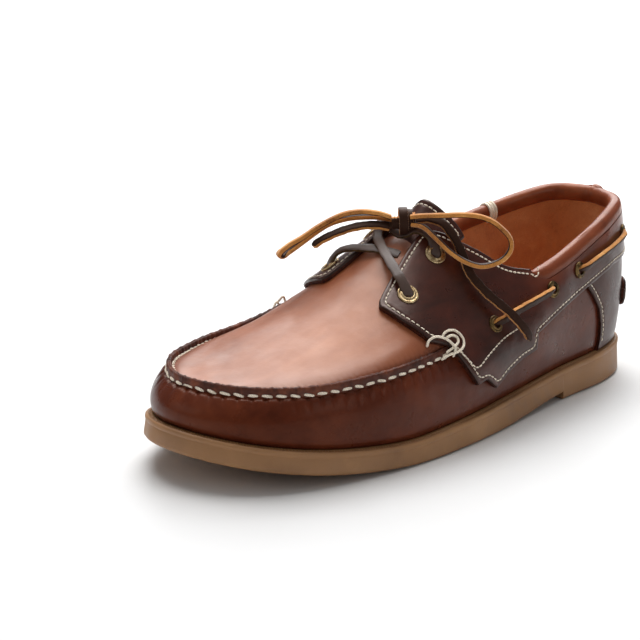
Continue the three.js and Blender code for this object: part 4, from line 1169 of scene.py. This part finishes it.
def make_ridge():
    """Standing seam round the toe: two leather edges pinched together and sewn through."""
    outline = [(0.5, -2.2), (0.0, -0.6), (-0.15, 1.0), (-0.05, 2.3), (0.25, 3.15), (0.7, 3.45), (1.05, 3.25),
               (1.2, 3.05), (1.4, 3.3), (1.85, 3.35), (2.3, 2.9), (2.6, 1.7), (2.75, 0.3), (2.6, -1.6),
               (1.5, -2.4)]
    theta = resample(np.stack([np.where(SEAM_THETA < 0, SEAM_THETA + 2 * PI, SEAM_THETA), SEAM_AT], 1),
                     count=1100)[:, 0]
    side = np.where(theta > PI, -1, 1)
    phi = np.where(theta > PI, 2 * PI - theta, theta)
    arc = seam_arc(np.where(theta > PI, theta - 2 * PI, theta))
    s = s_of(phi)
    rings = []
    share = np.where(side > 0, ridge_share("lat", s), ridge_share("med", s))
    pulled = 0.5 + 0.5 * np.cos(2 * PI * arc / SEAM_PITCH)
    fine = np.sin(2 * PI * arc / (SEAM_PITCH / 2) + 1.1)
    rough = 0.08 * np.sin(arc * 2.9 + 1.7 * np.sin(arc * 0.71)) + 0.06 * np.sin(arc * 6.1)
    for inset, rise in outline:
        lean = inset * (0.25 + 0.75 * share) + 0.2
        high = np.where(rise > 0, 1.0, 0.0)
        up = rise * (RIDGE_HEIGHT / 3.45) * np.where(rise > 0, share, 1)
        up = up + high * share * (-0.22 * pulled + 0.06 * fine + rough)
        lean = lean + high * share * (0.22 * pulled * (1 - inset / 1.6) + 0.10 * fine * (inset > 1.5))
        lat_in, med_in = section("latIn", s), section("medIn", s)
        xl, sl = inset_point("lat", phi, lat_in + lean)
        xm, sm = inset_point("med", phi, med_in + lean)
        x, ps = np.where(side > 0, xl, xm), np.where(side > 0, sl, sm)
        z = np.where(side > 0, section("latZ", s), section("medZ", s)) + up
        rings.append(row(x, ps, z))
    grid = np.stack(rings, 1)
    count, n = grid.shape[:2]
    faces = hoop_faces(count, n) + end_faces(count, n)
    obj = new_object("moccasin_ridge", grid.reshape(-1, 3), faces, [RIDGE_SKIN], sharp=75)
    store(obj, "edge", np.full(count * n, 9.0))
    tidy_mesh(obj, 1e-6)
    finish_piece(obj)
    return grid, arc, share


RIDGE_GRID, RIDGE_ARC, RIDGE_SHARE = make_ridge()


def point_at(line, arcs, at):
    return np.array([np.interp(at, arcs, line[:, a]) for a in range(3)])


def seam_stitches():
    """Long cream stitches at the foot of the ridge outside, short ones along its inner foot."""
    out = []
    full = RIDGE_SHARE > 0.6
    outer, inner = RIDGE_GRID[full, 2], RIDGE_GRID[full, 12]
    crest = RIDGE_GRID[full, 5]
    arcs = RIDGE_ARC[full]
    total = arcs[-1] - arcs[0]
    count = int(total / SEAM_PITCH)
    for k in range(count):
        at = arcs[0] + SEAM_PITCH * (k + 0.5)
        c = point_at(outer, arcs, at)
        b = point_at(outer, arcs, at + 1.0)
        t, up = unit(b - c), np.array([0, 0, 1.0])
        n = np.cross(t, up)
        heart = row(0.0, own(c)[1], 20.0)
        n = n * (1 if np.dot(n, c - heart) > 0 else -1)
        c = c - up * 1.0 + n * 0.1
        slanted = t * math.cos(0.08) + up * math.sin(0.08) * (1 if k % 2 else 0.5)
        out.append((c, slanted, unit(n + 0.25 * up), 5.0 + 0.25 * math.sin(k * 2.1), 1.35, 1.0))
    small = int(total / (SEAM_PITCH / 2))
    for k in range(small):
        at = arcs[0] + SEAM_PITCH / 2 * (k + 0.5)
        c = point_at(inner, arcs, at)
        b = point_at(inner, arcs, at + 1.0)
        top = point_at(crest, arcs, at)
        t = unit(b - c)
        away = unit((c - top) * np.array([1, 1, 0]))
        slanted = unit(t * 0.8 + away * 0.55)
        facing = unit(away * 0.6 + np.array([0, 0, 1.0]))
        out.append((c + away * 0.5 + np.array([0, 0, 0.5]), slanted, facing, 2.8, 1.1, 0.9))
    return out


finish_piece(capsules("moccasin_stitches", seam_stitches(), THREAD))

# ------------------------------------------------------------------ overlays
def saddle_low(side):
    s, z = SADDLE_EDGE["s"], SADDLE_EDGE["z"]
    higher = section(side + "Z", s) - section("latZ", s)
    share = np.where(s > 150, np.clip((z - 28) / 17, 0, 1), 0)
    goal = z + higher * share
    fine_s = np.concatenate([np.linspace(a, b, 12)[:-1] for a, b in zip(s[:-1], s[1:])] + [s[-1:]])
    fine_z = np.interp(fine_s, s, goal)
    return lambda x, ss, zz: zz - np.interp(ss, fine_s, fine_z)


FLAP_ROUND = 3.5


def saddle(side, name, node):
    """Collar band and lacing flap of one side, cut from one piece of leather."""
    sign = 1 if side == "lat" else -1
    s = np.concatenate([np.linspace(0.72, 4, 8), np.linspace(4, 102.5, 130)[1:],
                        np.linspace(102.5, 107.5, 26)[1:], np.linspace(107.5, 160, 110)[1:],
                        np.linspace(160, 196, 130)[1:]])
    theta = sign * phi_of(s)
    low = crossing(theta, saddle_low(side))
    high = crossing(theta, top_test(side, COLLAR_DROP, 0.0))
    good = high - low > 0.004
    last = len(good) if good.all() else np.argmin(good)
    theta, low, high = theta[:last], low[:last], high[:last]
    scale = np.linalg.norm(surface(theta, 1.5)[0] - surface(theta, 1.0)[0], axis=-1) / 0.5
    to_tip = 1 - np.clip((s[last - 1] - s[:last]) / FLAP_ROUND, 0, 1)
    trim = FLAP_ROUND * (1 - np.sqrt(1 - to_tip ** 2)) / scale
    low, high = low + trim, high - trim
    last = len(low) if (high - low > 0.004).all() else np.argmin(high - low > 0.004)
    theta, low, high = theta[:last], low[:last], high[:last]
    obj, sheet = panel(name, theta, low, high, PANEL_LIFT - 0.5, PANEL_TOP, [SADDLE, RAW, HIDDEN],
                       dents=creased(FLAP_CREASES, side), inner=34, free=("low", "high", "end"),
                       flush_before=101.0)
    finish_piece(obj, [node])
    return sheet


saddle_sheets = {"lat": saddle("lat", "saddle_flap_lateral", "saddle_lateral"),
                 "med": saddle("med", "saddle_flap_medial", "saddle_medial")}


def counter():
    s = np.concatenate([np.linspace(0.7, 40, 48)[1:], np.linspace(40, 56.3, 60)[1:]])
    half = phi_of(s)
    theta = np.concatenate([-half[::-1], [0.0], half])
    low = crossing(theta, lambda x, ss, zz: zz - np.interp(ss, COUNTER_EDGE["s"], COUNTER_EDGE["z"]))
    low = np.maximum(low, 0.004)
    high = crossing(theta, lambda x, ss, zz: zz - np.interp(ss, SADDLE_EDGE["s"], SADDLE_EDGE["z"] + 1.5))
    good = high - low > 0.004
    theta, low, high = theta[good], low[good], high[good]
    obj, sheet = panel("counter_overlay", theta, low, high, 0.1, 1.6, [COUNTER, RAW, HIDDEN], radius=0.9,
                       inner=24, free=("low",))
    finish_piece(obj, ["heel_counter"])
    return sheet


def patch():
    s = np.concatenate([np.linspace(0.7, 9, 18)[1:], np.linspace(9, 13.5, 26)[1:]])
    half = phi_of(s)
    theta = np.concatenate([-half[::-1], [0.0], half])

    def round_off(ss):
        return 4.5 * (1 - np.sqrt(np.clip(1 - np.clip((ss - 9) / 4.6, 0, 1) ** 2, 0, 1)))

    low = crossing(theta, lambda x, ss, zz: zz - (33 + round_off(ss)))
    high = crossing(theta, lambda x, ss, zz: zz - (48 - round_off(ss)))
    obj, sheet = panel("heel_tab", theta, low, high, 2.0, 4.4, [SADDLE, RAW, HIDDEN], inner=16)
    finish_piece(obj, ["heel_patch"])
    return sheet


counter_sheet = counter()
patch_sheet = patch()


# ------------------------------------------------------------------ sewn lines
def saddle_stitches(side):
    sheet = saddle_sheets[side]
    low, high = sheet["sides"]["low"], sheet["sides"]["high"]
    out = []
    _, s_low, _ = own(low)
    _, s_high, _ = own(high)
    edge = np.concatenate([low[s_low > 2.5], high[s_high > 101][::-1]])
    line = inward(edge, sheet, STITCH_IN)
    out += stitch_row(line, sheet)
    _, s_end, z_end = own(line[-1])
    turn_s, turn_z = s_end - np.array([1.0, 2.6, 4.8, 6.2, 6.4]), z_end - np.array([0.9, 2.6, 2.9, 1.2, -1.8])
    turn, _ = locate_side(side, turn_s, turn_z, PANEL_TOP)
    out += stitch_row(resample(spline(turn, 60), 0.6), sheet, pitch=2.4, length=1.9, seed=2)
    inner = [(120, 46), (132, 44), (146, 39.4), (156, 35.7), (161, 40), (167.5, 46.7)] if side == "lat" else \
        [(120, 46), (132, 45), (146, 42), (156, 40), (161, 46), (168, 54)]
    p, _ = locate_side(side, [a for a, _ in inner], [b for _, b in inner], PANEL_TOP)
    line = settle(resample(spline(p, 120), 0.6), sheet)[0]
    out += stitch_row(line, sheet, seed=5)
    return out


finish_piece(capsules("saddle_stitching_lateral", saddle_stitches("lat"), THREAD))
finish_piece(capsules("saddle_stitching_medial", saddle_stitches("med"), THREAD))


def heel_stitches():
    low = counter_sheet["sides"]["low"]
    _, s, _ = own(low)
    out = []
    for side in (1, -1):
        mask = (s > 40) & ((low[:, 0] > 0) == (side > 0))
        edge = low[mask]
        edge = edge[np.argsort(own(edge)[2])]
        edge = edge[own(edge)[2] > sole_top(40.0) + 3]
        out += stitch_row(inward(edge, counter_sheet, 2.6), counter_sheet)
    for end in ("start", "end"):
        edge = patch_sheet["sides"][end]
        out += stitch_row(inward(edge, patch_sheet, 2.4), patch_sheet, pitch=3.2, length=2.8, width=1.2,
                          height=0.8)
    for edge in ("low", "high"):
        out += stitch_row(inward(patch_sheet["sides"][edge], patch_sheet, 2.4), patch_sheet)
    return out


finish_piece(capsules("heel_stitching", heel_stitches(), THREAD))


# ------------------------------------------------------------------ tongue, collar roll
def make_tongue():
    chart = make_chart(5.8)
    s = np.linspace(168, 107, 90)
    sides = []
    for sign in (1, -1):
        theta = sign * phi_of(s)
        goal = np.interp(s, [104, 125, 150, 206], [21.5, 22.5, 22, 18])
        u = crossing(theta, lambda x, ss, zz: (goal[:, None] - sign * (x - 0.5)))
        fine = np.linspace(0, 1, 34)
        th = np.repeat(theta[:, None], len(fine), 1)
        uu = u[:, None] + (2 - u)[:, None] * fine[None, :]
        sides.append(surface(th, uu, chart))
    p = np.concatenate([sides[0][0], sides[1][0][:, -2::-1]], 1)
    n = np.concatenate([sides[0][1], sides[1][1][:, -2::-1]], 1)
    across = np.linspace(-1, 1, p.shape[1])
    rounding = 5.0 * (1 - np.sqrt(np.clip(1 - (np.abs(across) * 0.96) ** 5, 0, 1)))
    count = len(s)
    _, ps, pz = own(p)
    past = (pz > 62 + (ps - 106 - rounding[None, :]) * 1.2714)
    ends = np.where(past.any(0), past.argmax(0), count - 1).astype(float)
    for _ in range(6):
        ends[1:-1] = (ends[:-2] + 2 * ends[1:-1] + ends[2:]) / 4
    index = np.linspace(0, 1, count)[:, None] * ends[None, :]
    i0 = np.clip(np.floor(index).astype(int), 0, count - 2)
    f = (index - i0)[..., None]
    j = np.arange(p.shape[1])[None, :]
    p = p[i0, j] * (1 - f) + p[i0 + 1, j] * f
    n = unit(n[i0, j] * (1 - f) + n[i0 + 1, j] * f)
    rim = np.concatenate([p[:, 0], p[-1], p[::-1, -1]])
    d = nearest(p.reshape(-1, 3), rim).reshape(p.shape[:2])
    round_off = 1 - np.sqrt(1 - (1 - np.clip(d / 1.3, 0, 1)) ** 2)
    height = -2.4 - 0.6 * round_off - 0.2 * np.exp(-((d - 3) / 0.8) ** 2)
    top = p + n * height[..., None]
    obj = slab("tongue_leather", top, p - n * 4.6, [SADDLE, RAW, HIDDEN])
    store(obj, "edge", np.concatenate([d.ravel(), np.zeros(d.size)]))
    tidy_mesh(obj)
    finish_piece(obj, ["tongue"])
    sheet = {"top": top, "normal": n}
    far = rim[own(rim)[1] < 140]
    finish_piece(capsules("tongue_stitching", stitch_row(inward(far, sheet, 3.0), sheet), THREAD))


make_tongue()


ROLL_PROFILE = [
    (2.3, -10.4), (2.9, -8.7), (3.08, -6.9), (3.1, -5.2), (2.95, -3.6), (2.35, -1.9), (1.1, -0.55),
    (-0.6, 0.0),
    (-2.3, -0.5), (-3.5, -1.8), (-4.0, -3.6), (-4.0, -5.6), (-3.5, -7.4), (-2.3, -8.6), (-0.4, -9.4)]


def make_roll():
    """Soft rolled collar, flush with the band outside, with faint gathers round the heel."""
    stops = np.array([104, 100, 96, 90, 84, 77, 70, 62, 55, 48, 42, 36, 30, 25, 20, 16, 12, 9, 6, 3.6, 2.2])
    path, ways = [], []
    for side, order in (("lat", stops), ("med", stops[::-1])):
        z = hermite(COLLAR["s"], COLLAR[side], order) - 0.5 * COLLAR_DROP * collar_share(order)
        p, n = locate_side(side, order, z)
        path += list(p)
        ways += list(n)
        if side == "lat":
            path.append(row(0.0, 4.3, 93 - COLLAR_RADIUS))
            ways.append(np.array([0, 1.0, 0]))
    count, sides = 460, 44
    line, out = spline(path, count), unit(spline(ways, count))
    out[:, 2] *= 0.4
    tangent = unit(np.gradient(line, axis=0))
    out = unit(out - tangent * np.sum(out * tangent, 1, keepdims=True))
    up = np.cross(tangent, out)
    up *= np.sign(up[:, 2:3])
    at = np.concatenate([[0], np.cumsum(np.linalg.norm(np.diff(line, axis=0), axis=1))])
    share = collar_share(own(line)[1])
    wide, tall = 0.2 + 0.8 * np.sqrt(share), 0.1 + 0.9 * share
    bend = smooth(1 - np.abs(at / at[-1] - 0.5) / 0.16)
    ring = spline(ROLL_PROFILE + ROLL_PROFILE[:1], sides + 1)[:-1]
    rows = []
    for o, h in ring:
        top = smooth(1 + h / 5.0)
        soft = 0.16 * np.sin(at / 11.0) * top + 0.08 * np.sin(at / 4.7 + h) * top
        gather = 0.07 * bend * np.sin(at / 1.5 + 0.5 * h) * top
        sway = o * wide + (1 - wide) * 1.2 + (soft + gather) * np.sign(o)
        rows.append(line + out * sway[:, None] + up * ((h + 0.5 * COLLAR_DROP) * tall)[:, None])
    grid = np.stack(rows, 1)
    faces = hoop_faces(count, sides) + end_faces(count, sides)
    obj = new_object("collar_padding", grid.reshape(-1, 3), faces, [ROLL], sharp=75)
    store(obj, "edge", np.full(count * sides, 9.0))
    low = smooth((-ring[:, 1] - 3.5) / 5.0) * (ring[:, 0] > 0)
    store(obj, "blend", np.repeat(low[None, :], count, 0))
    tidy_mesh(obj, 1e-7)
    finish_piece(obj, ["collar_roll"])
    return grid


roll_grid = make_roll()


# ------------------------------------------------------------------ eyelets and side laces
def eyelet(name, centre, normal, radius, material):
    """Set eyelet: rolled barrel mouth, dished flange and a rounded outer rim."""
    bore = radius * 0.5
    profile = [(bore, -3.6), (bore + 0.5, -3.6), (bore + 0.5, -0.35), (radius - 0.25, -0.35), (radius, -0.05),
               (radius - 0.05, 0.35), (radius - 0.4, 0.62), (radius * 0.86, 0.66), (radius * 0.78, 0.52),
               (radius * 0.68, 0.62), (bore + 0.55, 0.95), (bore + 0.25, 1.0), (bore + 0.02, 0.8),
               (bore, 0.3)]
    side = unit(np.cross(normal, (0.0, 0.1, 1.0)))
    up = np.cross(side, normal)
    steps = 44
    grid = []
    for k in range(steps):
        a = 2 * PI * k / steps
        ray = side * math.cos(a) + up * math.sin(a)
        grid.append([centre + ray * r + normal * (h + 3.1) for r, h in profile])
    faces = hoop_faces(steps, len(profile), wrap=True)
    obj = new_object(name + "_brass", np.array(grid).reshape(-1, 3), faces, [material], sharp=60)
    tidy_mesh(obj, 1e-8)
    return finish_piece(obj, [name])


FRONT_SPOTS = {}
for name, (x, s) in FRONT_EYELETS.items():
    centre, normal = locate_top(x, s)
    FRONT_SPOTS[name] = (centre, normal)
    eyelet(name, centre, normal, EYELET_RADIUS, BRASS)

SIDE_SPOTS = {}
for side, word in (("lat", "lateral"), ("med", "medial")):
    for k, (s, z) in enumerate(SIDE_EYELETS, 1):
        high = z if side == "lat" else z + (4 if s > 40 else 0.5)
        centre, normal = locate_side(side, s, high)
        SIDE_SPOTS[side, k] = (centre[0], normal[0], s, high)
        eyelet(f"eyelet_{word}_{k}", centre[0], normal[0], SIDE_EYELET_RADIUS, BRONZE)


def side_lace(side, word, first, second, label):
    """Outside run of the collar lace; both ends turn down into their eyelets."""
    a, b = SIDE_SPOTS[side, first], SIDE_SPOTS[side, second]
    stops = np.array([0.0, 0.03, 0.1, 0.2, 0.35, 0.5, 0.65, 0.8, 0.9, 0.97, 1.0])
    p, n = locate_side(side, a[2] + (b[2] - a[2]) * stops, a[3] + (b[3] - a[3]) * stops)
    slack = 1.4 if label == "front" else 0.3
    rise = PANEL_TOP + 2 * GAP + LACE_THICK / 2 + slack * np.sin(PI * stops)
    rise[[0, -1]] = 1.2
    rise[[1, -2]] = 3.2
    lean = np.array([0, 0, -0.75])
    obj, _ = ribbon(f"collar_lace_{word}_{label}", p + n * rise[:, None], unit(n + lean),
                    [LACE_GRAIN, LACE_FLESH], 4.2, 2.3)
    return finish_piece(obj, [f"lace_side_{word}_{label}"])


for side, word in (("lat", "lateral"), ("med", "medial")):
    side_lace(side, word, 1, 2, "front")
    side_lace(side, word, 3, 4, "rear")


def crossing_laces():
    def start(name, up_by):
        centre, normal = FRONT_SPOTS[name]
        return [centre + normal * h for h in up_by]
    low = start("eyelet_medial_low", (0.6, 3.4)) + list(path_of(CROSS_LOW))
    rise = start("eyelet_lateral_low", (0.6, 3.4)) + list(path_of(CROSS_RISE))
    high = start("eyelet_lateral_high", (0.6, 3.0)) + list(path_of(CROSS_HIGH)) + \
        start("eyelet_medial_high", (0.6, 3.0))[::-1]
    pieces = []
    runs = (("low", low, (-0.4, 0.3)), ("rise", rise, (0.5, 0.0)), ("high", high, (0.5, -0.4)))
    for label, line, sway in runs:
        ways = resample(np.array([unit(np.array([sway[0], -0.55, 1.0])), unit(np.array([0, -0.55, 1.0])),
                                  unit(np.array([sway[1], -0.55, 1.0]))]), count=len(line))
        # the crossing laces' tops take the lace copy with painted sheen
        pieces.append(ribbon("run_" + label, np.array(line), ways, [LACE_PAINTED_SHEEN, LACE_SIDE], 4.6, 1.6)[0])
    return finish_piece(joined("front_lacing", pieces), ["lace_crossing"])


crossing_laces()


# ------------------------------------------------------------------ thread ties and lashing
def tie(name, points, radius, side):
    p, n = [], []
    for s, z, up in points:
        q, m = locate_side(side, s, z, up)
        p.append(q[0])
        n.append(m[0])
    return tube(name, np.array(p), radius, THREAD, normals=np.array(n))


TIE_RADIUS = 0.62
TIE_LOOPS = [
    [(177, 43.6, 0.6), (172.4, 44.4, 3.2), (167.6, 44.4, 4.2), (163.0, 45.6, 4.2), (161.0, 48.2, 4.0),
     (162.6, 51.2, 4.0), (166, 52.8, 4.0), (169.4, 52.8, 3.4), (172.2, 51.6, 2.4), (173.6, 50.2, 1.6)],
    [(174.2, 45.4, 2.6), (169.8, 46.4, 4.4), (166.2, 47.6, 4.8), (165.6, 49.4, 4.8), (167.8, 50.8, 4.4),
     (170.8, 50.6, 3.4)],
    [(182.6, 49.6, 0.8), (181.2, 51.2, 2.8), (177.8, 51.8, 4.0), (174.0, 50.6, 4.8), (171.2, 48.2, 5.2),
     (170.0, 45.6, 5.0), (171.0, 43.0, 2.8)]]
ties = [tie(f"loop_{k}", loop, TIE_RADIUS, "lat") for k, loop in enumerate(TIE_LOOPS)]
MEDIAL_LOOPS = [
    [(184, 48, 2.2), (184.5, 51, 4.2), (187, 53, 4.4), (190, 51.5, 3.6)],
    [(187, 46, 1.4), (187.5, 49, 3.6), (190, 51, 4.2), (193, 49.5, 2.4)]]
ties += [tie(f"inner_loop_{k}", loop, TIE_RADIUS, "med") for k, loop in enumerate(MEDIAL_LOOPS)]
finish_piece(joined("seam_ties", ties))


def roll_lashing(at_s=54.0, wraps=3):
    """Cream thread wound round the inner side of the rolled collar."""
    x, s, _ = own(roll_grid.mean(1))
    pieces = []
    for k in range(wraps):
        index = int(np.argmin(np.abs(s - at_s - 1.9 * (k - 1)) + 500 * (x > 0)))
        ring = roll_grid[index]
        away = unit(ring - ring.mean(0))
        loop = ring + away * 0.45
        pieces.append(ribbon("wrap", loop[::2], away[::2], [THREAD, THREAD], 1.5, 1.1, closed=True,
                             count=89, wobble=0.03)[0])
    return finish_piece(joined("collar_lashing", pieces))


roll_lashing()


# ------------------------------------------------------------------ sole and footbed
def ring_points(inset, height, theta):
    side_lat = theta <= PI
    phi = np.where(side_lat, theta, 2 * PI - theta)
    xl, sl = inset_point("lat", phi, inset)
    xm, sm = inset_point("med", phi, inset)
    x, s = np.where(side_lat, xl, xm), np.where(side_lat, sl, sm)
    return row(x, s, height(s))


def cover(name, ring, rows, material, flip, sharp=40, dent=None):
    """Sheet across a closed ring, from its outer half to its inner half."""
    half = len(ring) // 2
    share = np.linspace(0, 1, rows)[None, :, None]
    outer = ring[:half + 1]
    inner = np.concatenate([ring[:1], ring[:half - 1:-1]])[:half + 1]
    sheet = outer[:, None] * (1 - share) + inner[:, None] * share
    if dent is not None:
        x, s, _ = own(sheet)
        edge = np.minimum(share[..., 0], 1 - share[..., 0])
        sheet[..., 2] += dent(x, s) * (edge > 0)
    return new_object(name, sheet.reshape(-1, 3), grid_faces(half + 1, rows, 0, flip), [material],
                      sharp=sharp)


def sipes(x, s):
    """Closely spaced wavy cuts under the heel and the forefoot."""
    heel = smooth((s - 10) / 3) * (1 - smooth((s - 70) / 3))
    front = smooth((s - 128) / 3) * (1 - smooth((s - 262) / 4))
    wave = (s + 2.2 * np.sin(x / 2.6)) % 4.6
    return 1.1 * (heel + front) * (np.abs(wave - 2.3) < 0.55)


def make_sole():
    """Moulded unit sole: tread, slightly hollow side wall, proud top lip and serrated welt line."""
    dense = np.linspace(0, 2 * PI, 4001)
    rim = ring_points(np.zeros_like(dense), ground, dense)
    at = np.concatenate([[0], np.cumsum(np.linalg.norm(np.diff(rim, axis=0), axis=1))])
    count = 1500
    theta = np.interp(np.linspace(0, at[-1], count, endpoint=False), at, dense)
    arc = np.linspace(0, at[-1], count, endpoint=False)
    teeth = np.sin(2 * PI * arc / 1.5)
    levels = [  # inset, share of the wall's height, rise in mm, height of the welt's teeth
        (8.0, 0, 0.0, 0), (1.6, 0, 0.0, 0), (0.7, 0, 0.35, 0), (0.15, 0, 1.1, 0),
        (0.2, 0, 2.2, 0), (0.5, 0.35, 0.6, 0), (0.8, 0.6, 0.4, 0), (1.0, 1, -3.2, 0),
        (1.1, 1, -2.8, 0), (1.05, 1, -2.6, 0), (0.8, 1, -2.35, 0), (0.7, 1, -1.6, 0),
        (0.85, 1, -0.7, 0), (1.25, 1, -0.15, 0), (1.8, 1, 0.0, 0), (2.5, 1, -0.05, 0),
        (2.75, 1, -0.45, 0), (3.1, 1, -0.35, 0.35), (3.8, 1, 0.25, 0.35), (4.6, 1, 0.15, 0),
        (9.0, 1, 0.0, 0)]
    rings = []
    for inset, part, rise, tooth in levels:
        ring = ring_points(np.full(count, inset),
                           lambda s: ground(s) + (sole_top(s) - ground(s)) * part + rise, theta)
        ring[:, 2] += tooth * teeth
        rings.append(ring)
    grid = np.stack(rings, 1)
    obj = new_object("unit_sole_wall", grid.reshape(-1, 3), grid_faces(count, len(levels), wrap=True),
                     [GUM], sharp=50)
    parts = [obj, cover("tread", grid[:, 0], 46, GUM, True, 50, sipes),
             cover("bed", grid[:, -1], 46, GUM, False, 50)]
    sole = joined("unit_sole", parts)
    tidy_mesh(sole, 1e-5)
    return finish_piece(sole, ["outsole"])


make_sole()


def make_footbed():
    theta = np.linspace(0, 2 * PI, 360, endpoint=False)
    levels = [(20, 3.2), (12, 3.4), (9.2, 3.5), (8.3, 3.2), (8.1, 2.4), (8.1, 0.2), (20, 0.2)]
    rings = [ring_points(np.full(360, i), lambda s, h=h: sole_top(s) + 0.6 + h, theta) for i, h in levels]
    grid = np.stack(rings, 1)
    faces = grid_faces(360, len(levels), 0, False, True)
    parts = [new_object("rim", grid.reshape(-1, 3), faces, [INSOLE])]
    parts += [cover("bed", grid[:, 0], 20, INSOLE, False), cover("bed", grid[:, -1], 20, INSOLE, True)]
    obj = joined("footbed", parts)
    tidy_mesh(obj, 1e-5)
    return finish_piece(obj, ["insole"])


make_footbed()

# ------------------------------------------------------------------ studio
def area_light(name, at, aim, size, power, colour=(1, 1, 1)):
    data = bpy.data.lights.new(name, "AREA")
    data.shape, data.size, data.size_y = "RECTANGLE", size[0], size[1]
    data.energy, data.color = power, colour
    obj = bpy.data.objects.new(name, data)
    bpy.context.scene.collection.objects.link(obj)
    obj.location = at
    obj.rotation_euler = (Vector(aim) - Vector(at)).to_track_quat("-Z", "Y").to_euler()
    return obj


area_light("back", (-0.75, 0.95, 0.95), (0, -0.03, 0.03), (1.3, 0.9), 15)
area_light("top", (-0.35, 0.25, 1.25), (0, -0.02, 0.0), (1.2, 0.9), 20)
area_light("fill", (-0.5, -1.2, 0.55), (0, 0, 0.03), (0.8, 0.5), 1.2)
area_light("side", (1.1, 0.1, 0.35), (0.02, 0, 0.04), (0.5, 0.35), 0.8)


def studio_world():
    """Pale dome, brightest overhead, so that upright leather keeps its depth."""
    world = bpy.data.worlds.new("studio")
    world.use_nodes = True
    tree = world.node_tree
    background = tree.nodes["Background"]
    place = tree.nodes.new("ShaderNodeTexCoord")
    split = tree.nodes.new("ShaderNodeSeparateXYZ")
    ramp = tree.nodes.new("ShaderNodeValToRGB")
    ramp.color_ramp.elements[0].position, ramp.color_ramp.elements[0].color = 0.0, (0.12, 0.12, 0.12, 1)
    ramp.color_ramp.elements[1].position, ramp.color_ramp.elements[1].color = 0.75, (0.8, 0.8, 0.8, 1)
    tree.links.new(place.outputs["Generated"], split.inputs[0])
    tree.links.new(split.outputs["Z"], ramp.inputs["Fac"])
    tree.links.new(ramp.outputs["Color"], background.inputs["Color"])
    background.inputs["Strength"].default_value = 0.45
    bpy.context.scene.world = world


studio_world()
bpy.context.scene.view_settings.view_transform = "Standard"

floor_mesh = bpy.data.meshes.new("floor")
R = 6.0
floor_mesh.from_pydata([(-R, -R, 0), (R, -R, 0), (R, R, 0), (-R, R, 0)], [], [(0, 1, 2, 3)])
floor = bpy.data.objects.new("floor", floor_mesh)
bpy.context.scene.collection.objects.link(floor)
floor.location.z = -0.0002
paper = Nodes("pale_floor_painted_glow")
distance = paper.add("ShaderNodeVectorMath", operation="LENGTH")
paper.link(paper.place, distance.inputs[0])
# painted light: the floor glows, not at all within 0.25 m of the shoe, rising to 0.7 at 1 m
paper.set(glow=1.0, glow_colour=paper.ramp(distance.outputs["Value"], [(0.25, 0.0), (1.0, 0.7)]),
          colour=(0.72, 0.72, 0.72), rough=paper.ramp(paper.noise(30, 3), [(0.3, 0.5), (0.7, 0.6)]))
floor_mesh.materials.append(paper.material)
